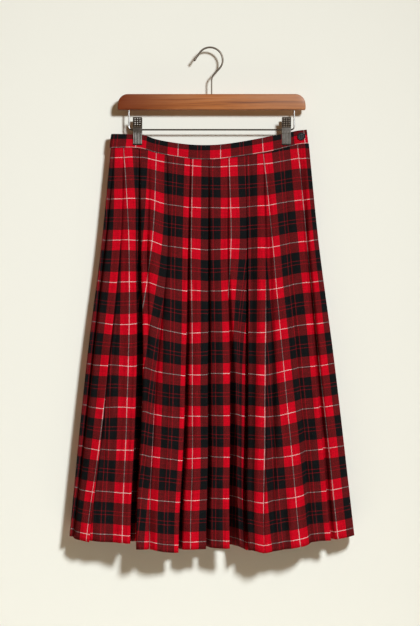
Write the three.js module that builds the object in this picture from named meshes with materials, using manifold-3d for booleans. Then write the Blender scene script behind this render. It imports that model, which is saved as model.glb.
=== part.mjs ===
// A pleated midi skirt held by its waistband on a wooden clip hanger.
//
// Millimetres, +Z up, the skirt's front towards -Y. The origin is the seat of the hook: the inner
// top of its loop, where a rail carries it. Cloth hangs from the hanger, so everything below the
// hook is drawn in a group whose x = 0 is the middle of the bar.
import * as THREE from 'three';
import { mergeVertices } from 'three/addons/utils/BufferGeometryUtils.js';
import Module from 'manifold-3d';

const wasm = await Module();
wasm.setup();

// ---------------------------------------------------------------- driving dimensions
const BAR_X = 3;                 // the bar's middle, from the hook's seat
const SEAT_GAP = 0.3;            // the gap left between two pieces that touch
const SEAM_GAP = 0.45;           // the same along the waist seam, with its tolerance
const SEAM_TOLERANCE = 0.06;
const LONGEST_STRETCH = 34;      // the longest straight stretch of cloth along a seam

const CLOTH = 1.0;               // wall of the pleated cloth
const BAND_WALL = 2.2;           // the band is folded double
const LAYER = { pitch: 1.5, growth: 0.3, most: 0.48 };  // how far apart a pleat's layers lie, as it lifts

const WIRE_RADIUS = 1.5;
const HOOK_RADIUS = 24;          // centre line of the hook's loop
const HOOK_OPEN_ANGLE = 145.5;   // degrees, where the loop runs out into its straight tip
const HOOK_NECK_ANGLE = -43;     // degrees, where it runs down to the stem
const HOOK_TIP_LENGTH = 17;
const HOOK_NECK_BEND = 8;

const BAR = { width: 357, height: 30, depth: 13, top: -87.6, shoulder: [19.5, 21], edge: 2.5 };
const SOCKET_DEPTH = 11;         // how far a wire end is let into the bar

const ROD_Z = -155;
const LEG_X = 157;
const FRAME_BEND = 8;

const CLIP = { width: 17.2, top: -132, bottom: -184, plate: 1.2 };
const RIB = { count: 6, radius: 0.75, low: -182, high: -161 };
const DOT = { columns: 3, rows: 4, across: 4.6, down: 3.6, top: -134.8, radius: [0.8, 1.1], height: 1.6 };
const CLIP_X = { left: -140.5, right: 142 };

const BUTTON = { x: 170, radius: 7.5, depth: 3, rim: 1.5, hole: 0.85, holeCircle: 2.4 };

// Levels down the panel: 0 is the waist seam, 1 the hem. The tables give values at these four.
const LEVELS = [0, 0.25, 0.55, 1];          // seam, hip, thigh, hem
const ROWS = [0, 0.1, 0.25, 0.4, 0.55, 0.75, 1];

// The band from side to side: heights of its top edge and of the waist seam under it, and half
// the depth between its layers. The clips pinch it flat and it sags and opens between them.
const PINCH = 1.5;
const BAND = [
  { x: -189.5, top: -163.2, seam: -190, open: 4.6 },
  { x: -162, top: -163.6, seam: -189.2, open: 4.6 },
  { x: -154, top: -163.9, seam: -189, open: PINCH },
  { x: -127.5, top: -165.2, seam: -192, open: PINCH },
  { x: -110, top: -172, seam: -197.6, open: 4.4 },
  { x: -79, top: -178.8, seam: -204.6, open: 6.6 },
  { x: -36, top: -184.2, seam: -210.8, open: 9 },
  { x: 4, top: -184.6, seam: -212, open: 9.5 },
  { x: 41, top: -180.8, seam: -208, open: 9 },
  { x: 81, top: -173.8, seam: -201.8, open: 7 },
  { x: 114, top: -167, seam: -195.8, open: 4.6 },
  { x: 129.5, top: -163.9, seam: -191.6, open: PINCH },
  { x: 154.5, top: -158.5, seam: -185.2, open: PINCH },
  { x: 162, top: -157.2, seam: -183.6, open: 4.7 },
  { x: 180.5, top: -155.2, seam: -181.4, open: 4.7 },
];
const BAND_FLARE = 3;            // how much wider the band is at its lower edge, each side
const UNDERLAP = { x: 163, y: -0.7, turn: 179.5 };

// One row per fold. lap: 1 = the cloth on its left lies in front, -1 = the cloth on its right.
// x: the fold's edge at the four levels. tuck: how deep the hidden cloth runs in behind the edge
// (negative = open, a soft step). lift: how far the hidden cloth lies behind the edge. out: how
// far the edge stands out at hip, thigh and hem. hem: height of the hem at the edge and just past
// it. facing: one of a pair that faces its neighbour, with the cloth between them left deep.
const FRONT = {
  face: -1,
  left: { x: [-191, -208.6, -236, -268.5], out: [4.6, 7, 10, 17], hem: -924 },
  right: { x: [184.2, 202.3, 231.4, 269.6], out: [4.7, 8, 11, 17], hem: -923 },
  folds: [
    { lap: -1, soft: true, x: [-183, -199.5, -224, -259], tuck: [-2, -2.5, -3.5, -4], lift: [0.2, 1, 3, 4.5],
      out: [9, 15, 22], hem: [-929, -926] },
    { lap: 1, x: [-168.3, -173.3, -193.5, -229.4], tuck: [11, 18, 15, 0.5], lift: [3, 3.6, 5, 2.4],
      out: [12, 21, 34], hem: [-934, -931.5] },
    { lap: -1, x: [-118, -123.3, -136.1, -140.5], tuck: [-20.5, -15, 6, 38], lift: [2.2, 8, 18, 31],
      out: [15, 32, 50], hem: [-945.5, -935] },
    { lap: 1, x: [-85.8, -84.3, -104.7, -119.6], tuck: [22, 22, 12, 4], lift: [3, 4.4, 7, 8],
      out: [17, 33, 49], hem: [-946, -947] },
    { lap: 1, x: [-41.6, -45.5, -49.4, -62.2], tuck: [27, 24, 28, 25], lift: [3, 4.2, 8, 14],
      out: [19, 35, 53], hem: [-953, -948.5] },
    { lap: 1, x: [-7, -7, -7, -10.5], tuck: [21, 24, 27, 27], lift: [3, 4, 7, 12],
      out: [19, 33, 47], hem: [-946.5, -943.5] },
    { lap: 1, x: [29.8, 30, 33.4, 35.5], tuck: [23, 24, 26, 29], lift: [3, 5, 12, 24],
      out: [19, 33, 47], hem: [-944.5, -941], facing: true },
    { lap: -1, x: [65.6, 68.9, 61.2, 52.5], tuck: [12, 12, 15, 33], lift: [3, 5, 12, 25],
      out: [19, 34, 49], hem: [-948, -941], facing: true },
    { lap: 1, x: [99.2, 99.4, 99.2, 96.7], tuck: [11, 14, 14, 0.5], lift: [3, 4.2, 6, 2.4],
      out: [17, 33, 50], hem: [-952.2, -952] },
    { lap: 1, soft: true, x: [139, 144.5, 158.6, 183.4], tuck: [-4, -4, -4, -4], lift: [0.4, 1, 4, 8.5],
      out: [13, 27, 42], hem: [-938.5, -934.5] },
    { lap: 1, x: [165.6, 176.3, 194.9, 224.8], tuck: [6, 19, 22, 22], lift: [2.9, 4.4, 7, 11],
      out: [12, 21, 31], hem: [-931, -930] },
  ],
};

const BACK = {
  face: 1,
  left: { x: [-191, -208.6, -236, -268.5], out: [4.6, 6, 7, 8], hem: -924 },
  right: { x: [184.2, 202.3, 231.4, 269.6], out: [4.7, 6, 7, 8], hem: -923 },
  folds: [
    { lap: -1, x: [-171, -182, -203, -231], tuck: [8, 20, 22, 21], lift: [3, 3.4, 4.4, 6],
      out: [8, 11, 15], hem: [-930, -929] },
    { lap: -1, x: [-112, -122, -138, -166], tuck: [14, 24, 24, 19], lift: [3, 3.4, 4.8, 7],
      out: [9, 13, 18], hem: [-938, -936] },
    { lap: -1, x: [-72, -77, -88, -101], tuck: [24, 26, 25, 26], lift: [3, 3.4, 5, 8],
      out: [10, 14, 18], hem: [-943, -941] },
    { lap: -1, x: [-27, -29, -33, -42], tuck: [26, 27, 28, 24], lift: [3, 3.4, 4.6, 7],
      out: [11, 15, 19], hem: [-945, -943] },
    { lap: -1, x: [18, 19, 19, 27], tuck: [26, 26, 27, 29], lift: [3, 3.4, 5, 8],
      out: [11, 15, 18], hem: [-946, -943] },
    { lap: -1, x: [62, 66, 76, 88], tuck: [24, 26, 28, 24], lift: [3, 3.4, 4.8, 7.5],
      out: [10, 14, 18], hem: [-944, -942] },
    { lap: -1, x: [103, 112, 131, 155], tuck: [8, 22, 25, 22], lift: [3, 3.4, 5, 7],
      out: [9, 13, 18], hem: [-939, -937] },
    { lap: -1, soft: true, x: [150, 166, 190, 219], tuck: [-4, -5, -6, -7], lift: [0.4, 2, 4, 6],
      out: [8, 11, 15], hem: [-931, -929] },
  ],
};
const SIDE_SEAM_Y = [0, -2, -4, -8];       // the side seams drift forward towards the hem
const FOLD_CLEAR = 3;                      // how far past the fold's edge the cloth stays behind
// Past that it rises over reach + slope * lift, and ends this part of the lift behind.
const RISE = { reach: 5, slope: 0.8, behind: 0.15 };
const FACING_RISE = { reach: 2, slope: 0, behind: 0.92 };
const FOLD_SHUT = 8;                       // a fold tucked in by this much lies fully turned

// ---------------------------------------------------------------- materials
const material = (name, color, roughness, metalness) =>
  new THREE.MeshStandardMaterial({ name, color, roughness, metalness });

const plaidFront = material('plaid_front', 0x8c1019, 0.9, 0);
const plaidBack = material('plaid_back', 0x7c0f17, 0.9, 0);
const plaidBand = material('plaid_band', 0x5f0c12, 0.9, 0);
const wood = material('stained_wood', 0x8a4a26, 0.45, 0);
const steel = material('steel_wire', 0xb9b7b2, 0.3, 1);
const clipSteel = material('clip_steel', 0x8f8d88, 0.4, 1);
const buttonResin = material('button_resin', 0x141414, 0.35, 0);

// ---------------------------------------------------------------- small helpers
const radians = THREE.MathUtils.degToRad;
const lerp = THREE.MathUtils.lerp;

// A smooth curve through the values given at the knots, each knot's slope the mean of its sides.
function curveThrough(knots, values, t) {
  const last = knots.length - 1;
  const slope = (i) => (values[i + 1] - values[i]) / (knots[i + 1] - knots[i]);
  const tangent = (i) => (i === 0 ? slope(0) : i === last ? slope(last - 1) : (slope(i - 1) + slope(i)) / 2);
  let i = 0;
  while (i < last - 1 && t > knots[i + 1]) i += 1;
  const span = knots[i + 1] - knots[i];
  const s = (t - knots[i]) / span;
  const rise = s * s * (3 - 2 * s);
  return values[i] + (values[i + 1] - values[i]) * rise
    + span * (tangent(i) * (s ** 3 - 2 * s ** 2 + s) + tangent(i + 1) * (s ** 3 - s ** 2));
}

// A straight-line table look-up, held flat past both ends.
function interpolate(xs, values, x) {
  if (x <= xs[0]) return values[0];
  const i = xs.findIndex((edge) => edge >= x);
  if (i < 0) return values[values.length - 1];
  return lerp(values[i - 1], values[i], (x - xs[i - 1]) / (xs[i] - xs[i - 1]));
}

const bandXs = BAND.map((row) => row.x);
const withinBand = (x) => THREE.MathUtils.clamp(x, bandXs[0], bandXs.at(-1));
const bandTop = (x) => curveThrough(bandXs, BAND.map((row) => row.top), withinBand(x));
const seamHeight = (x) => curveThrough(bandXs, BAND.map((row) => row.seam), withinBand(x));
const bandOpen = (x) => interpolate(bandXs, BAND.map((row) => row.open), x);

// Each corner of a line becomes a short curve that starts and ends `round` from it, or stays
// sharp if its steps are 0. A vertex is { x, y, hem, round, steps }; the points keep x, y and hem.
function roundedLine(vertices) {
  const mix = (a, b, s) => ({ x: lerp(a.x, b.x, s), y: lerp(a.y, b.y, s), hem: lerp(a.hem, b.hem, s) });
  return vertices.flatMap((vertex, i) => {
    if (vertex.steps === 0) return [mix(vertex, vertex, 0)];
    const before = vertices[i - 1];
    const after = vertices[i + 1];
    const reach = (end) => Math.min(vertex.round / Math.hypot(end.x - vertex.x, end.y - vertex.y), 0.45);
    const from = mix(vertex, before, reach(before));
    const to = mix(vertex, after, reach(after));
    return Array.from({ length: vertex.steps + 1 }, (_, k) => {
      const s = k / vertex.steps;
      return mix(mix(from, vertex, s), mix(vertex, to, s), s);
    });
  });
}

// Splits the stretches of every row alike, wherever a straight piece of the edge given by the
// first row would leave the curve of the waist seam by more than the tolerance.
function splitAlongSeam(rows) {
  const leaves = (x0, x1) => {
    const off = Math.abs(seamHeight((x0 + x1) / 2) - (seamHeight(x0) + seamHeight(x1)) / 2);
    return off > SEAM_TOLERANCE || Math.abs(x1 - x0) > LONGEST_STRETCH;
  };
  const cuts = (x0, x1, s0, s1) => {
    const middle = (s0 + s1) / 2;
    const at = (s) => lerp(x0, x1, s);
    return leaves(at(s0), at(s1)) ? [...cuts(x0, x1, s0, middle), ...cuts(x0, x1, middle, s1)] : [s1];
  };
  const fractions = rows[0].slice(1).map((end, k) => cuts(rows[0][k].x, end.x, 0, 1));
  return rows.map((row) => [row[0], ...fractions.flatMap((list, k) => list.map((s) => {
    const [a, b] = [row[k], row[k + 1]];
    return { x: lerp(a.x, b.x, s), y: lerp(a.y, b.y, s), hem: lerp(a.hem, b.hem, s) };
  }))]);
}

// Offsets every point of a line sideways by `distance`, mitred at the corners.
function offsetLine(points, distance) {
  const direction = (a, b) => {
    const length = Math.hypot(b.x - a.x, b.y - a.y);
    return { x: (b.x - a.x) / length, y: (b.y - a.y) / length };
  };
  return points.map((point, i) => {
    const into = direction(points[Math.max(i - 1, 0)], points[Math.max(i, 1)]);
    const out = direction(points[Math.min(i, points.length - 2)], points[Math.min(i + 1, points.length - 1)]);
    const normal = { x: -(into.y + out.y), y: into.x + out.x };
    const square = normal.x ** 2 + normal.y ** 2;
    const scale = Math.min(2 / square, 1.2 / Math.sqrt(square)) * distance;
    return { x: point.x + normal.x * scale, y: point.y + normal.y * scale };
  });
}

// A closed wall of cloth: `rows` are lines of points with x, y, z, one below the other, and the
// wall reaches half its thickness to both sides of them.
function clothWall(rows, thickness) {
  const count = rows[0].length;
  const positions = [];
  for (const side of [1, -1]) {
    for (const row of rows) {
      offsetLine(row, side * thickness / 2).forEach((point, k) => positions.push(point.x, point.y, row[k].z));
    }
  }
  const index = (side, row, k) => (side * rows.length + row) * count + k;
  const triangles = [];
  const quad = (a, b, c, d) => triangles.push(a, b, c, a, c, d);
  for (let row = 0; row < rows.length - 1; row += 1) {
    for (let k = 0; k < count - 1; k += 1) {
      quad(index(0, row, k), index(0, row, k + 1), index(0, row + 1, k + 1), index(0, row + 1, k));
      quad(index(1, row, k), index(1, row + 1, k), index(1, row + 1, k + 1), index(1, row, k + 1));
    }
    quad(index(0, row, 0), index(0, row + 1, 0), index(1, row + 1, 0), index(1, row, 0));
    const end = count - 1;
    quad(index(0, row, end), index(1, row, end), index(1, row + 1, end), index(0, row + 1, end));
  }
  const bottom = rows.length - 1;
  for (let k = 0; k < count - 1; k += 1) {
    quad(index(0, 0, k), index(1, 0, k), index(1, 0, k + 1), index(0, 0, k + 1));
    quad(index(0, bottom, k), index(0, bottom, k + 1), index(1, bottom, k + 1), index(1, bottom, k));
  }
  return facingOut(positions, triangles);
}

// Builds the geometry, turned inside out if its volume comes out negative.
function facingOut(positions, triangles) {
  const corner = (i) => new THREE.Vector3().fromArray(positions, 3 * i);
  let volume = 0;
  for (let i = 0; i < triangles.length; i += 3) {
    const [a, b, c] = [corner(triangles[i]), corner(triangles[i + 1]), corner(triangles[i + 2])];
    volume += a.dot(b.cross(c)) / 6;
  }
  const geometry = new THREE.BufferGeometry();
  geometry.setAttribute('position', new THREE.Float32BufferAttribute(positions, 3));
  geometry.setIndex(volume > 0 ? triangles : triangles.reverse());
  geometry.computeVertexNormals();
  return geometry;
}

// ---------------------------------------------------------------- booleans
function toSolid(geometry) {
  const plain = geometry.clone();
  plain.deleteAttribute('normal');
  plain.deleteAttribute('uv');
  const merged = mergeVertices(plain, 1e-4);
  return new wasm.Manifold(new wasm.Mesh({
    numProp: 3,
    vertProperties: new Float32Array(merged.attributes.position.array),
    triVerts: new Uint32Array(merged.index.array),
  }));
}

function toGeometry(solid) {
  const mesh = solid.getMesh();
  const geometry = new THREE.BufferGeometry();
  geometry.setAttribute('position', new THREE.BufferAttribute(new Float32Array(mesh.vertProperties), 3));
  geometry.setIndex(new THREE.BufferAttribute(new Uint32Array(mesh.triVerts), 1));
  geometry.computeVertexNormals();
  return geometry;
}

const joined = (first, ...rest) =>
  toGeometry(rest.reduce((solid, next) => solid.add(toSolid(next)), toSolid(first)));
const drilled = (body, ...tools) =>
  toGeometry(tools.reduce((solid, next) => solid.subtract(toSolid(next)), toSolid(body)));

// ---------------------------------------------------------------- wires
class Arc extends THREE.Curve {
  // An arc in the XZ plane, angles in degrees from +X towards +Z.
  constructor(centre, radius, from, to) {
    super();
    Object.assign(this, { centre, radius, from: radians(from), to: radians(to) });
  }

  getPoint(t, target = new THREE.Vector3()) {
    const angle = lerp(this.from, this.to, t);
    return target.set(
      this.centre.x + this.radius * Math.cos(angle),
      this.centre.y,
      this.centre.z + this.radius * Math.sin(angle),
    );
  }
}

function roundSection(radius, sides) {
  const points = Array.from({ length: sides }, (_, i) => {
    const angle = (i + 0.5) / sides * 2 * Math.PI;
    return new THREE.Vector2(radius * Math.cos(angle), radius * Math.sin(angle));
  });
  return new THREE.Shape(points);
}

function wire(curves, radius, steps, sides = 8) {
  const path = new THREE.CurvePath();
  curves.forEach((curve) => path.add(curve));
  const section = roundSection(radius, sides);
  return new THREE.ExtrudeGeometry(section, { steps, bevelEnabled: false, extrudePath: path });
}

const line = (from, to) => new THREE.LineCurve3(from, to);
const bend = (from, corner, to) => new THREE.QuadraticBezierCurve3(from, corner, to);
const point = (x, y, z) => new THREE.Vector3(x, y, z);

function upright(radius, length, sides = 16) {
  const geometry = new THREE.CylinderGeometry(radius, radius, length, sides);
  geometry.rotateX(Math.PI / 2);
  return geometry;
}

// ---------------------------------------------------------------- hanger
function hookGeometry() {
  const centre = point(0, 0, -HOOK_RADIUS + WIRE_RADIUS);
  const onLoop = (degrees) => point(
    centre.x + HOOK_RADIUS * Math.cos(radians(degrees)), 0,
    centre.z + HOOK_RADIUS * Math.sin(radians(degrees)),
  );
  const along = (degrees) => point(-Math.sin(radians(degrees)), 0, Math.cos(radians(degrees)));

  const tipStart = onLoop(HOOK_OPEN_ANGLE);
  const tip = tipStart.clone().addScaledVector(along(HOOK_OPEN_ANGLE), HOOK_TIP_LENGTH);
  const neckStart = onLoop(HOOK_NECK_ANGLE);
  const down = along(HOOK_NECK_ANGLE).negate();
  const corner = neckStart.clone().addScaledVector(down, (BAR_X - neckStart.x) / down.x);
  const bendStart = corner.clone().addScaledVector(down, -HOOK_NECK_BEND);
  const bendEnd = corner.clone().add(point(0, 0, -HOOK_NECK_BEND));
  const end = point(BAR_X, 0, BAR.top - SOCKET_DEPTH + SEAT_GAP);
  return wire([
    line(tip, tipStart),
    new Arc(centre, HOOK_RADIUS, HOOK_OPEN_ANGLE, HOOK_NECK_ANGLE),
    line(neckStart, bendStart),
    bend(bendStart, corner, bendEnd),
    line(bendEnd, end),
  ], WIRE_RADIUS, 54);
}

// One wire: down the left leg, along the rod and up the right leg.
function frameGeometry() {
  const legTop = BAR.top - BAR.height + SOCKET_DEPTH - SEAT_GAP;
  const top = (side) => point(side * LEG_X, 0, legTop);
  const legFoot = (side) => point(side * LEG_X, 0, ROD_Z + FRAME_BEND);
  const foot = (side) => point(side * LEG_X, 0, ROD_Z);
  const rodEnd = (side) => point(side * (LEG_X - FRAME_BEND), 0, ROD_Z);
  return wire([
    line(top(-1), legFoot(-1)),
    bend(legFoot(-1), foot(-1), rodEnd(-1)),
    line(rodEnd(-1), rodEnd(1)),
    bend(rodEnd(1), foot(1), legFoot(1)),
    line(legFoot(1), top(1)),
  ], WIRE_RADIUS, 110);
}

function barGeometry() {
  const { width, height, depth, top, shoulder: [reach, drop], edge } = BAR;
  const half = width / 2 - edge;
  const low = top - height + edge;
  const high = top - edge;
  const outline = new THREE.Shape();
  outline.moveTo(-half, low);
  outline.lineTo(half, low);
  const shoulder = (side, from, to) => outline.absellipse(
    side * (half - reach + edge), high - drop + edge, reach - edge, drop - edge, from, to, false, 0,
  );
  outline.lineTo(half, high - drop + edge);
  shoulder(1, 0, Math.PI / 2);
  outline.lineTo(-half + reach - edge, high);
  shoulder(-1, Math.PI / 2, Math.PI);
  outline.closePath();
  const block = new THREE.ExtrudeGeometry(outline, {
    depth: depth - 2 * edge, curveSegments: 8, bevelThickness: edge, bevelSize: edge, bevelSegments: 3,
  });
  block.translate(0, 0, -(depth - 2 * edge) / 2);
  block.rotateX(Math.PI / 2);

  const bore = (x, z) => {
    const socket = upright(WIRE_RADIUS + SEAT_GAP, 2 * SOCKET_DEPTH);
    socket.translate(x, 0, z);
    return socket;
  };
  return drilled(block, bore(0, top), bore(-LEG_X, top - height), bore(LEG_X, top - height));
}

// ---------------------------------------------------------------- clips
// Side profile of one jaw, from the finger grip down to the lip: distance from the middle plane
// of the clip and height. The lower part lies just clear of the pinched band.
const JAW_FACE = PINCH + BAND_WALL / 2 + SEAT_GAP + CLIP.plate / 2;
const JAW_PROFILE = [
  { out: 9.4, z: CLIP.top },
  { out: 7, z: -142 },
  { out: 4.4, z: -151.5 },
  { out: 3.9, z: -158 },
  { out: JAW_FACE, z: -163 },
  { out: JAW_FACE, z: CLIP.bottom },
];
const EAR = { radius: 3.1, thickness: 1, inset: { front: 0, back: 1.4 } };

function jawOut(z) {
  const rising = [...JAW_PROFILE].reverse();
  return interpolate(rising.map((row) => row.z), rising.map((row) => row.out), z);
}

// The jaw's plate, drawn in the YZ plane and pulled along X. face = -1 in front, 1 behind.
function jawPlate(face) {
  const middle = JAW_PROFILE.map((row) => ({ x: face * row.out, y: row.z }));
  const outline = [...offsetLine(middle, CLIP.plate / 2), ...offsetLine(middle, -CLIP.plate / 2).reverse()];
  const section = new THREE.Shape(outline.map((corner) => new THREE.Vector2(corner.x, corner.y)));
  return pulledAlongX(section, CLIP.width);
}

// A shape drawn in (y, z) becomes a plate of the given length, centred on x = 0.
function pulledAlongX(outline, length) {
  const geometry = new THREE.ExtrudeGeometry(outline, { depth: length, bevelEnabled: false, curveSegments: 6 });
  geometry.translate(0, 0, -length / 2);
  return geometry.applyMatrix4(new THREE.Matrix4().set(0, 0, 1, 0, 1, 0, 0, 0, 0, 1, 0, 0, 0, 0, 0, 1));
}

// Two ears bent back from the plate, each with a hole that runs on the rod.
function jawEars(face, inset) {
  const hole = WIRE_RADIUS + 1.5 * SEAT_GAP;
  return [-1, 1].map((side) => {
    const ear = new THREE.Shape();
    const plateY = face * (jawOut(ROD_Z) - CLIP.plate / 4);
    ear.moveTo(plateY, ROD_Z - EAR.radius);
    ear.lineTo(0, ROD_Z - EAR.radius);
    ear.absarc(0, ROD_Z, EAR.radius, -Math.PI / 2, Math.PI / 2, face > 0);
    ear.lineTo(plateY, ROD_Z + EAR.radius);
    ear.closePath();
    const rodHole = new THREE.Path();
    rodHole.absarc(0, ROD_Z, hole, 0, 2 * Math.PI, false);
    ear.holes.push(rodHole);
    const geometry = pulledAlongX(ear, EAR.thickness);
    return geometry.translate(side * (CLIP.width / 2 - EAR.thickness / 2 - inset), 0, 0);
  });
}

// Upright ribs on the lower face and small raised dots on the finger grip.
function jawRibs() {
  const pitch = CLIP.width / RIB.count;
  return Array.from({ length: RIB.count }, (_, i) => {
    const rib = new THREE.CylinderGeometry(RIB.radius, RIB.radius, RIB.high - RIB.low, 8);
    rib.rotateX(Math.PI / 2);
    rib.translate((i - (RIB.count - 1) / 2) * pitch, -(JAW_FACE + CLIP.plate / 2), (RIB.high + RIB.low) / 2);
    return rib;
  });
}

function jawDots() {
  return Array.from({ length: DOT.columns * DOT.rows }, (_, i) => {
    const x = (i % DOT.columns - (DOT.columns - 1) / 2) * DOT.across;
    const z = DOT.top - Math.floor(i / DOT.columns) * DOT.down;
    const dot = new THREE.CylinderGeometry(...DOT.radius, DOT.height, 8);
    dot.rotateX(Math.PI / 2);
    dot.translate(x, -(jawOut(z) + CLIP.plate / 2), z);
    return dot;
  });
}

// The lip that closes the front jaw's lower edge.
function jawLip() {
  const lip = new THREE.CylinderGeometry(1, 1, CLIP.width, 8);
  lip.rotateZ(Math.PI / 2);
  lip.translate(0, -(JAW_FACE + 0.4), CLIP.bottom + 0.6);
  return lip;
}

const frontJaw = joined(jawPlate(-1), ...jawEars(-1, EAR.inset.front), ...jawRibs(), ...jawDots(), jawLip());
const backJaw = joined(jawPlate(1), ...jawEars(1, EAR.inset.back));

// The torsion spring: coils round the rod, with a leg up behind each finger grip.
class Coil extends THREE.Curve {
  constructor(radius, turns, length) {
    super();
    Object.assign(this, { radius, turns, length });
  }

  getPoint(t, target = new THREE.Vector3()) {
    const angle = Math.PI * 2 * this.turns * t;
    const { length, radius } = this;
    return target.set(length * (t - 0.5), -radius * Math.cos(angle), ROD_Z + radius * Math.sin(angle));
  }
}

function springGeometry() {
  const radius = 2.55;
  const turns = 4.5;
  const length = 7;
  const reach = 9;
  const spread = 1.6;
  const start = point(-length / 2, -radius, ROD_Z);
  const end = point(length / 2, radius, ROD_Z);
  return wire([
    line(point(-length / 2, -radius - spread, ROD_Z + reach), start),
    new Coil(radius, turns, length),
    line(end, point(length / 2, radius + spread, ROD_Z + reach)),
  ], 0.5, 60, 6);
}

// ---------------------------------------------------------------- cloth panels
// One level of a panel as a line of corners from its left side seam to its right one. Everything
// is measured outwards from the panel's profile, the line from fold edge to fold edge.
function panelCorners(panel, t) {
  const { face, left, right, folds } = panel;
  const at = (values) => curveThrough(LEVELS, values, t);
  const outAt = (fold) => curveThrough(LEVELS, [bandOpen(fold.x[0]), ...fold.out], t);
  const sideX = { left: at(left.x), right: at(right.x) };
  const profileX = [sideX.left, ...folds.map((fold) => at(fold.x)), sideX.right];
  const profileOut = [at(left.out), ...folds.map(outAt), at(right.out)];
  const profile = (x) => interpolate(profileX, profileOut, x);
  const seamY = at(SIDE_SEAM_Y) + face * SEAT_GAP / 2;
  const corner = (x, behind, hem) => ({ x, y: face * (profile(x) - behind), hem, steps: 0 });

  const foldCorners = (fold) => {
    const { lap, soft, facing } = fold;
    const [edgeHem, pastHem] = fold.hem;
    const x = at(fold.x);
    const tuck = at(fold.tuck);
    const lift = at(fold.lift);
    const opened = Math.max(-tuck, 0);
    const edge = corner(x, 0, edgeHem);
    if (soft) {
      const step = [edge, corner(x + lap * opened, lift, pastHem)];
      return lap > 0 ? step : step.reverse();
    }
    // Where the cloth turns back it makes a small nose, as wide as the layers lie apart. As the
    // fold opens, both noses straighten out into a step.
    const width = Math.min(Math.max(LAYER.pitch, LAYER.growth * lift), LAYER.most * lift);
    const turned = THREE.MathUtils.clamp(tuck / FOLD_SHUT, -1, 1);
    const nose = lap * width / 2;
    const backX = x - lap * tuck;
    const clearX = x + lap * (FOLD_CLEAR + opened);
    const rise = facing ? FACING_RISE : RISE;
    const forwardX = clearX + lap * (rise.reach + rise.slope * lift);
    const path = [
      corner(x - nose, 0, edgeHem),
      corner(x, width / 2, edgeHem),
      corner(x - nose * turned, width, edgeHem),
      corner(backX + nose * turned, lift - width, pastHem),
      corner(backX, lift - width / 2, pastHem),
      corner(backX + nose, lift, pastHem),
      corner(clearX, lift, pastHem),
      corner(forwardX, rise.behind * lift, pastHem),
    ];
    return lap > 0 ? path : path.reverse();
  };

  const side = (end, x, out) => {
    const rounded = { x, y: face * out, hem: end.hem, round: 0.9 * Math.abs(face * out - seamY), steps: 2 };
    return [{ x, y: seamY, hem: end.hem, steps: 0 }, rounded];
  };
  return [
    ...side(left, sideX.left, at(left.out)),
    ...folds.flatMap(foldCorners),
    ...side(right, sideX.right, at(right.out)).reverse(),
  ];
}

// The panel's cut edges hang from the waist seam: each line down the cloth runs straight in
// height from the seam to its own height at the hem.
function panelGeometry(panel) {
  const lines = splitAlongSeam(ROWS.map((t) => roundedLine(panelCorners(panel, t))));
  const rows = lines.map((row, i) => row.map((p, k) => (
    { x: p.x, y: p.y, z: lerp(seamHeight(lines[0][k].x) - SEAM_GAP, p.hem, ROWS[i]) })));
  return clothWall(rows, CLOTH);
}

// ---------------------------------------------------------------- waistband
// One strip: from its lapped front end round the left side, along the back, round the right side
// and in behind the front as the underlap.
function bandGeometry() {
  const soft = (x, y) => ({ x, y, hem: 0, round: 4, steps: 1 });
  const turn = (x, y, round) => ({ x, y, hem: 0, round, steps: 3 });
  const [frontEnd, ...front] = [...BAND].reverse().map((row) => soft(row.x, -row.open));
  const back = BAND.map((row) => soft(row.x, row.open)).slice(1, -1);
  const leftX = BAND[0].x - 0.4;
  const leftOpen = BAND[0].open;
  const turnRadius = (BAND.at(-1).open - UNDERLAP.y) / 2;
  const corners = [
    { ...frontEnd, steps: 0 },
    ...front.slice(0, -1),
    turn(leftX, -leftOpen, leftOpen),
    turn(leftX, leftOpen, leftOpen),
    ...back,
    turn(UNDERLAP.turn, BAND.at(-1).open, turnRadius),
    turn(UNDERLAP.turn, UNDERLAP.y, turnRadius),
    { x: UNDERLAP.x, y: UNDERLAP.y, hem: 0, steps: 0 },
  ];
  const [section] = splitAlongSeam([roundedLine(corners)]);
  const lowerX = (x) => x * (1 + BAND_FLARE / BAND.at(-1).x);
  const rows = [0, 0.5, 1].map((s) => section.map((p) => (
    { x: lerp(p.x, lowerX(p.x), s), y: p.y, z: lerp(bandTop(p.x), seamHeight(lowerX(p.x)), s) })));
  return clothWall(rows, BAND_WALL);
}

// ---------------------------------------------------------------- button
function buttonGeometry() {
  const { radius, depth, rim, hole, holeCircle } = BUTTON;
  const profile = [
    [0, 0], [radius - 0.6, 0], [radius, 0.7], [radius, depth - 0.6], [radius - 0.6, depth],
    [radius - rim, depth], [radius - rim - 0.7, depth - 0.8], [0, depth - 1],
  ];
  const disc = new THREE.LatheGeometry(profile.map(([r, h]) => new THREE.Vector2(r, h)), 28);
  const holes = [0, 1, 2, 3].map((i) => {
    const angle = Math.PI / 4 + i * Math.PI / 2;
    const drill = new THREE.CylinderGeometry(hole, hole, 3 * depth, 10);
    drill.translate(holeCircle * Math.cos(angle), 0, holeCircle * Math.sin(angle));
    return drill;
  });
  const geometry = drilled(disc, ...holes);
  geometry.rotateX(Math.PI);
  const seat = bandOpen(BUTTON.x) + BAND_WALL / 2 + SEAT_GAP;
  geometry.translate(BUTTON.x, -seat, lerp(bandTop(BUTTON.x), seamHeight(BUTTON.x), 0.46));
  return geometry;
}

// ---------------------------------------------------------------- assembly
function addMesh(parent, name, geometry, finish, x = 0) {
  const mesh = new THREE.Mesh(geometry, finish);
  mesh.name = name;
  mesh.position.x = x;
  parent.add(mesh);
}

const skirtOnHanger = new THREE.Group();
addMesh(skirtOnHanger, 'hanger_hook', hookGeometry(), steel);

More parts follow.
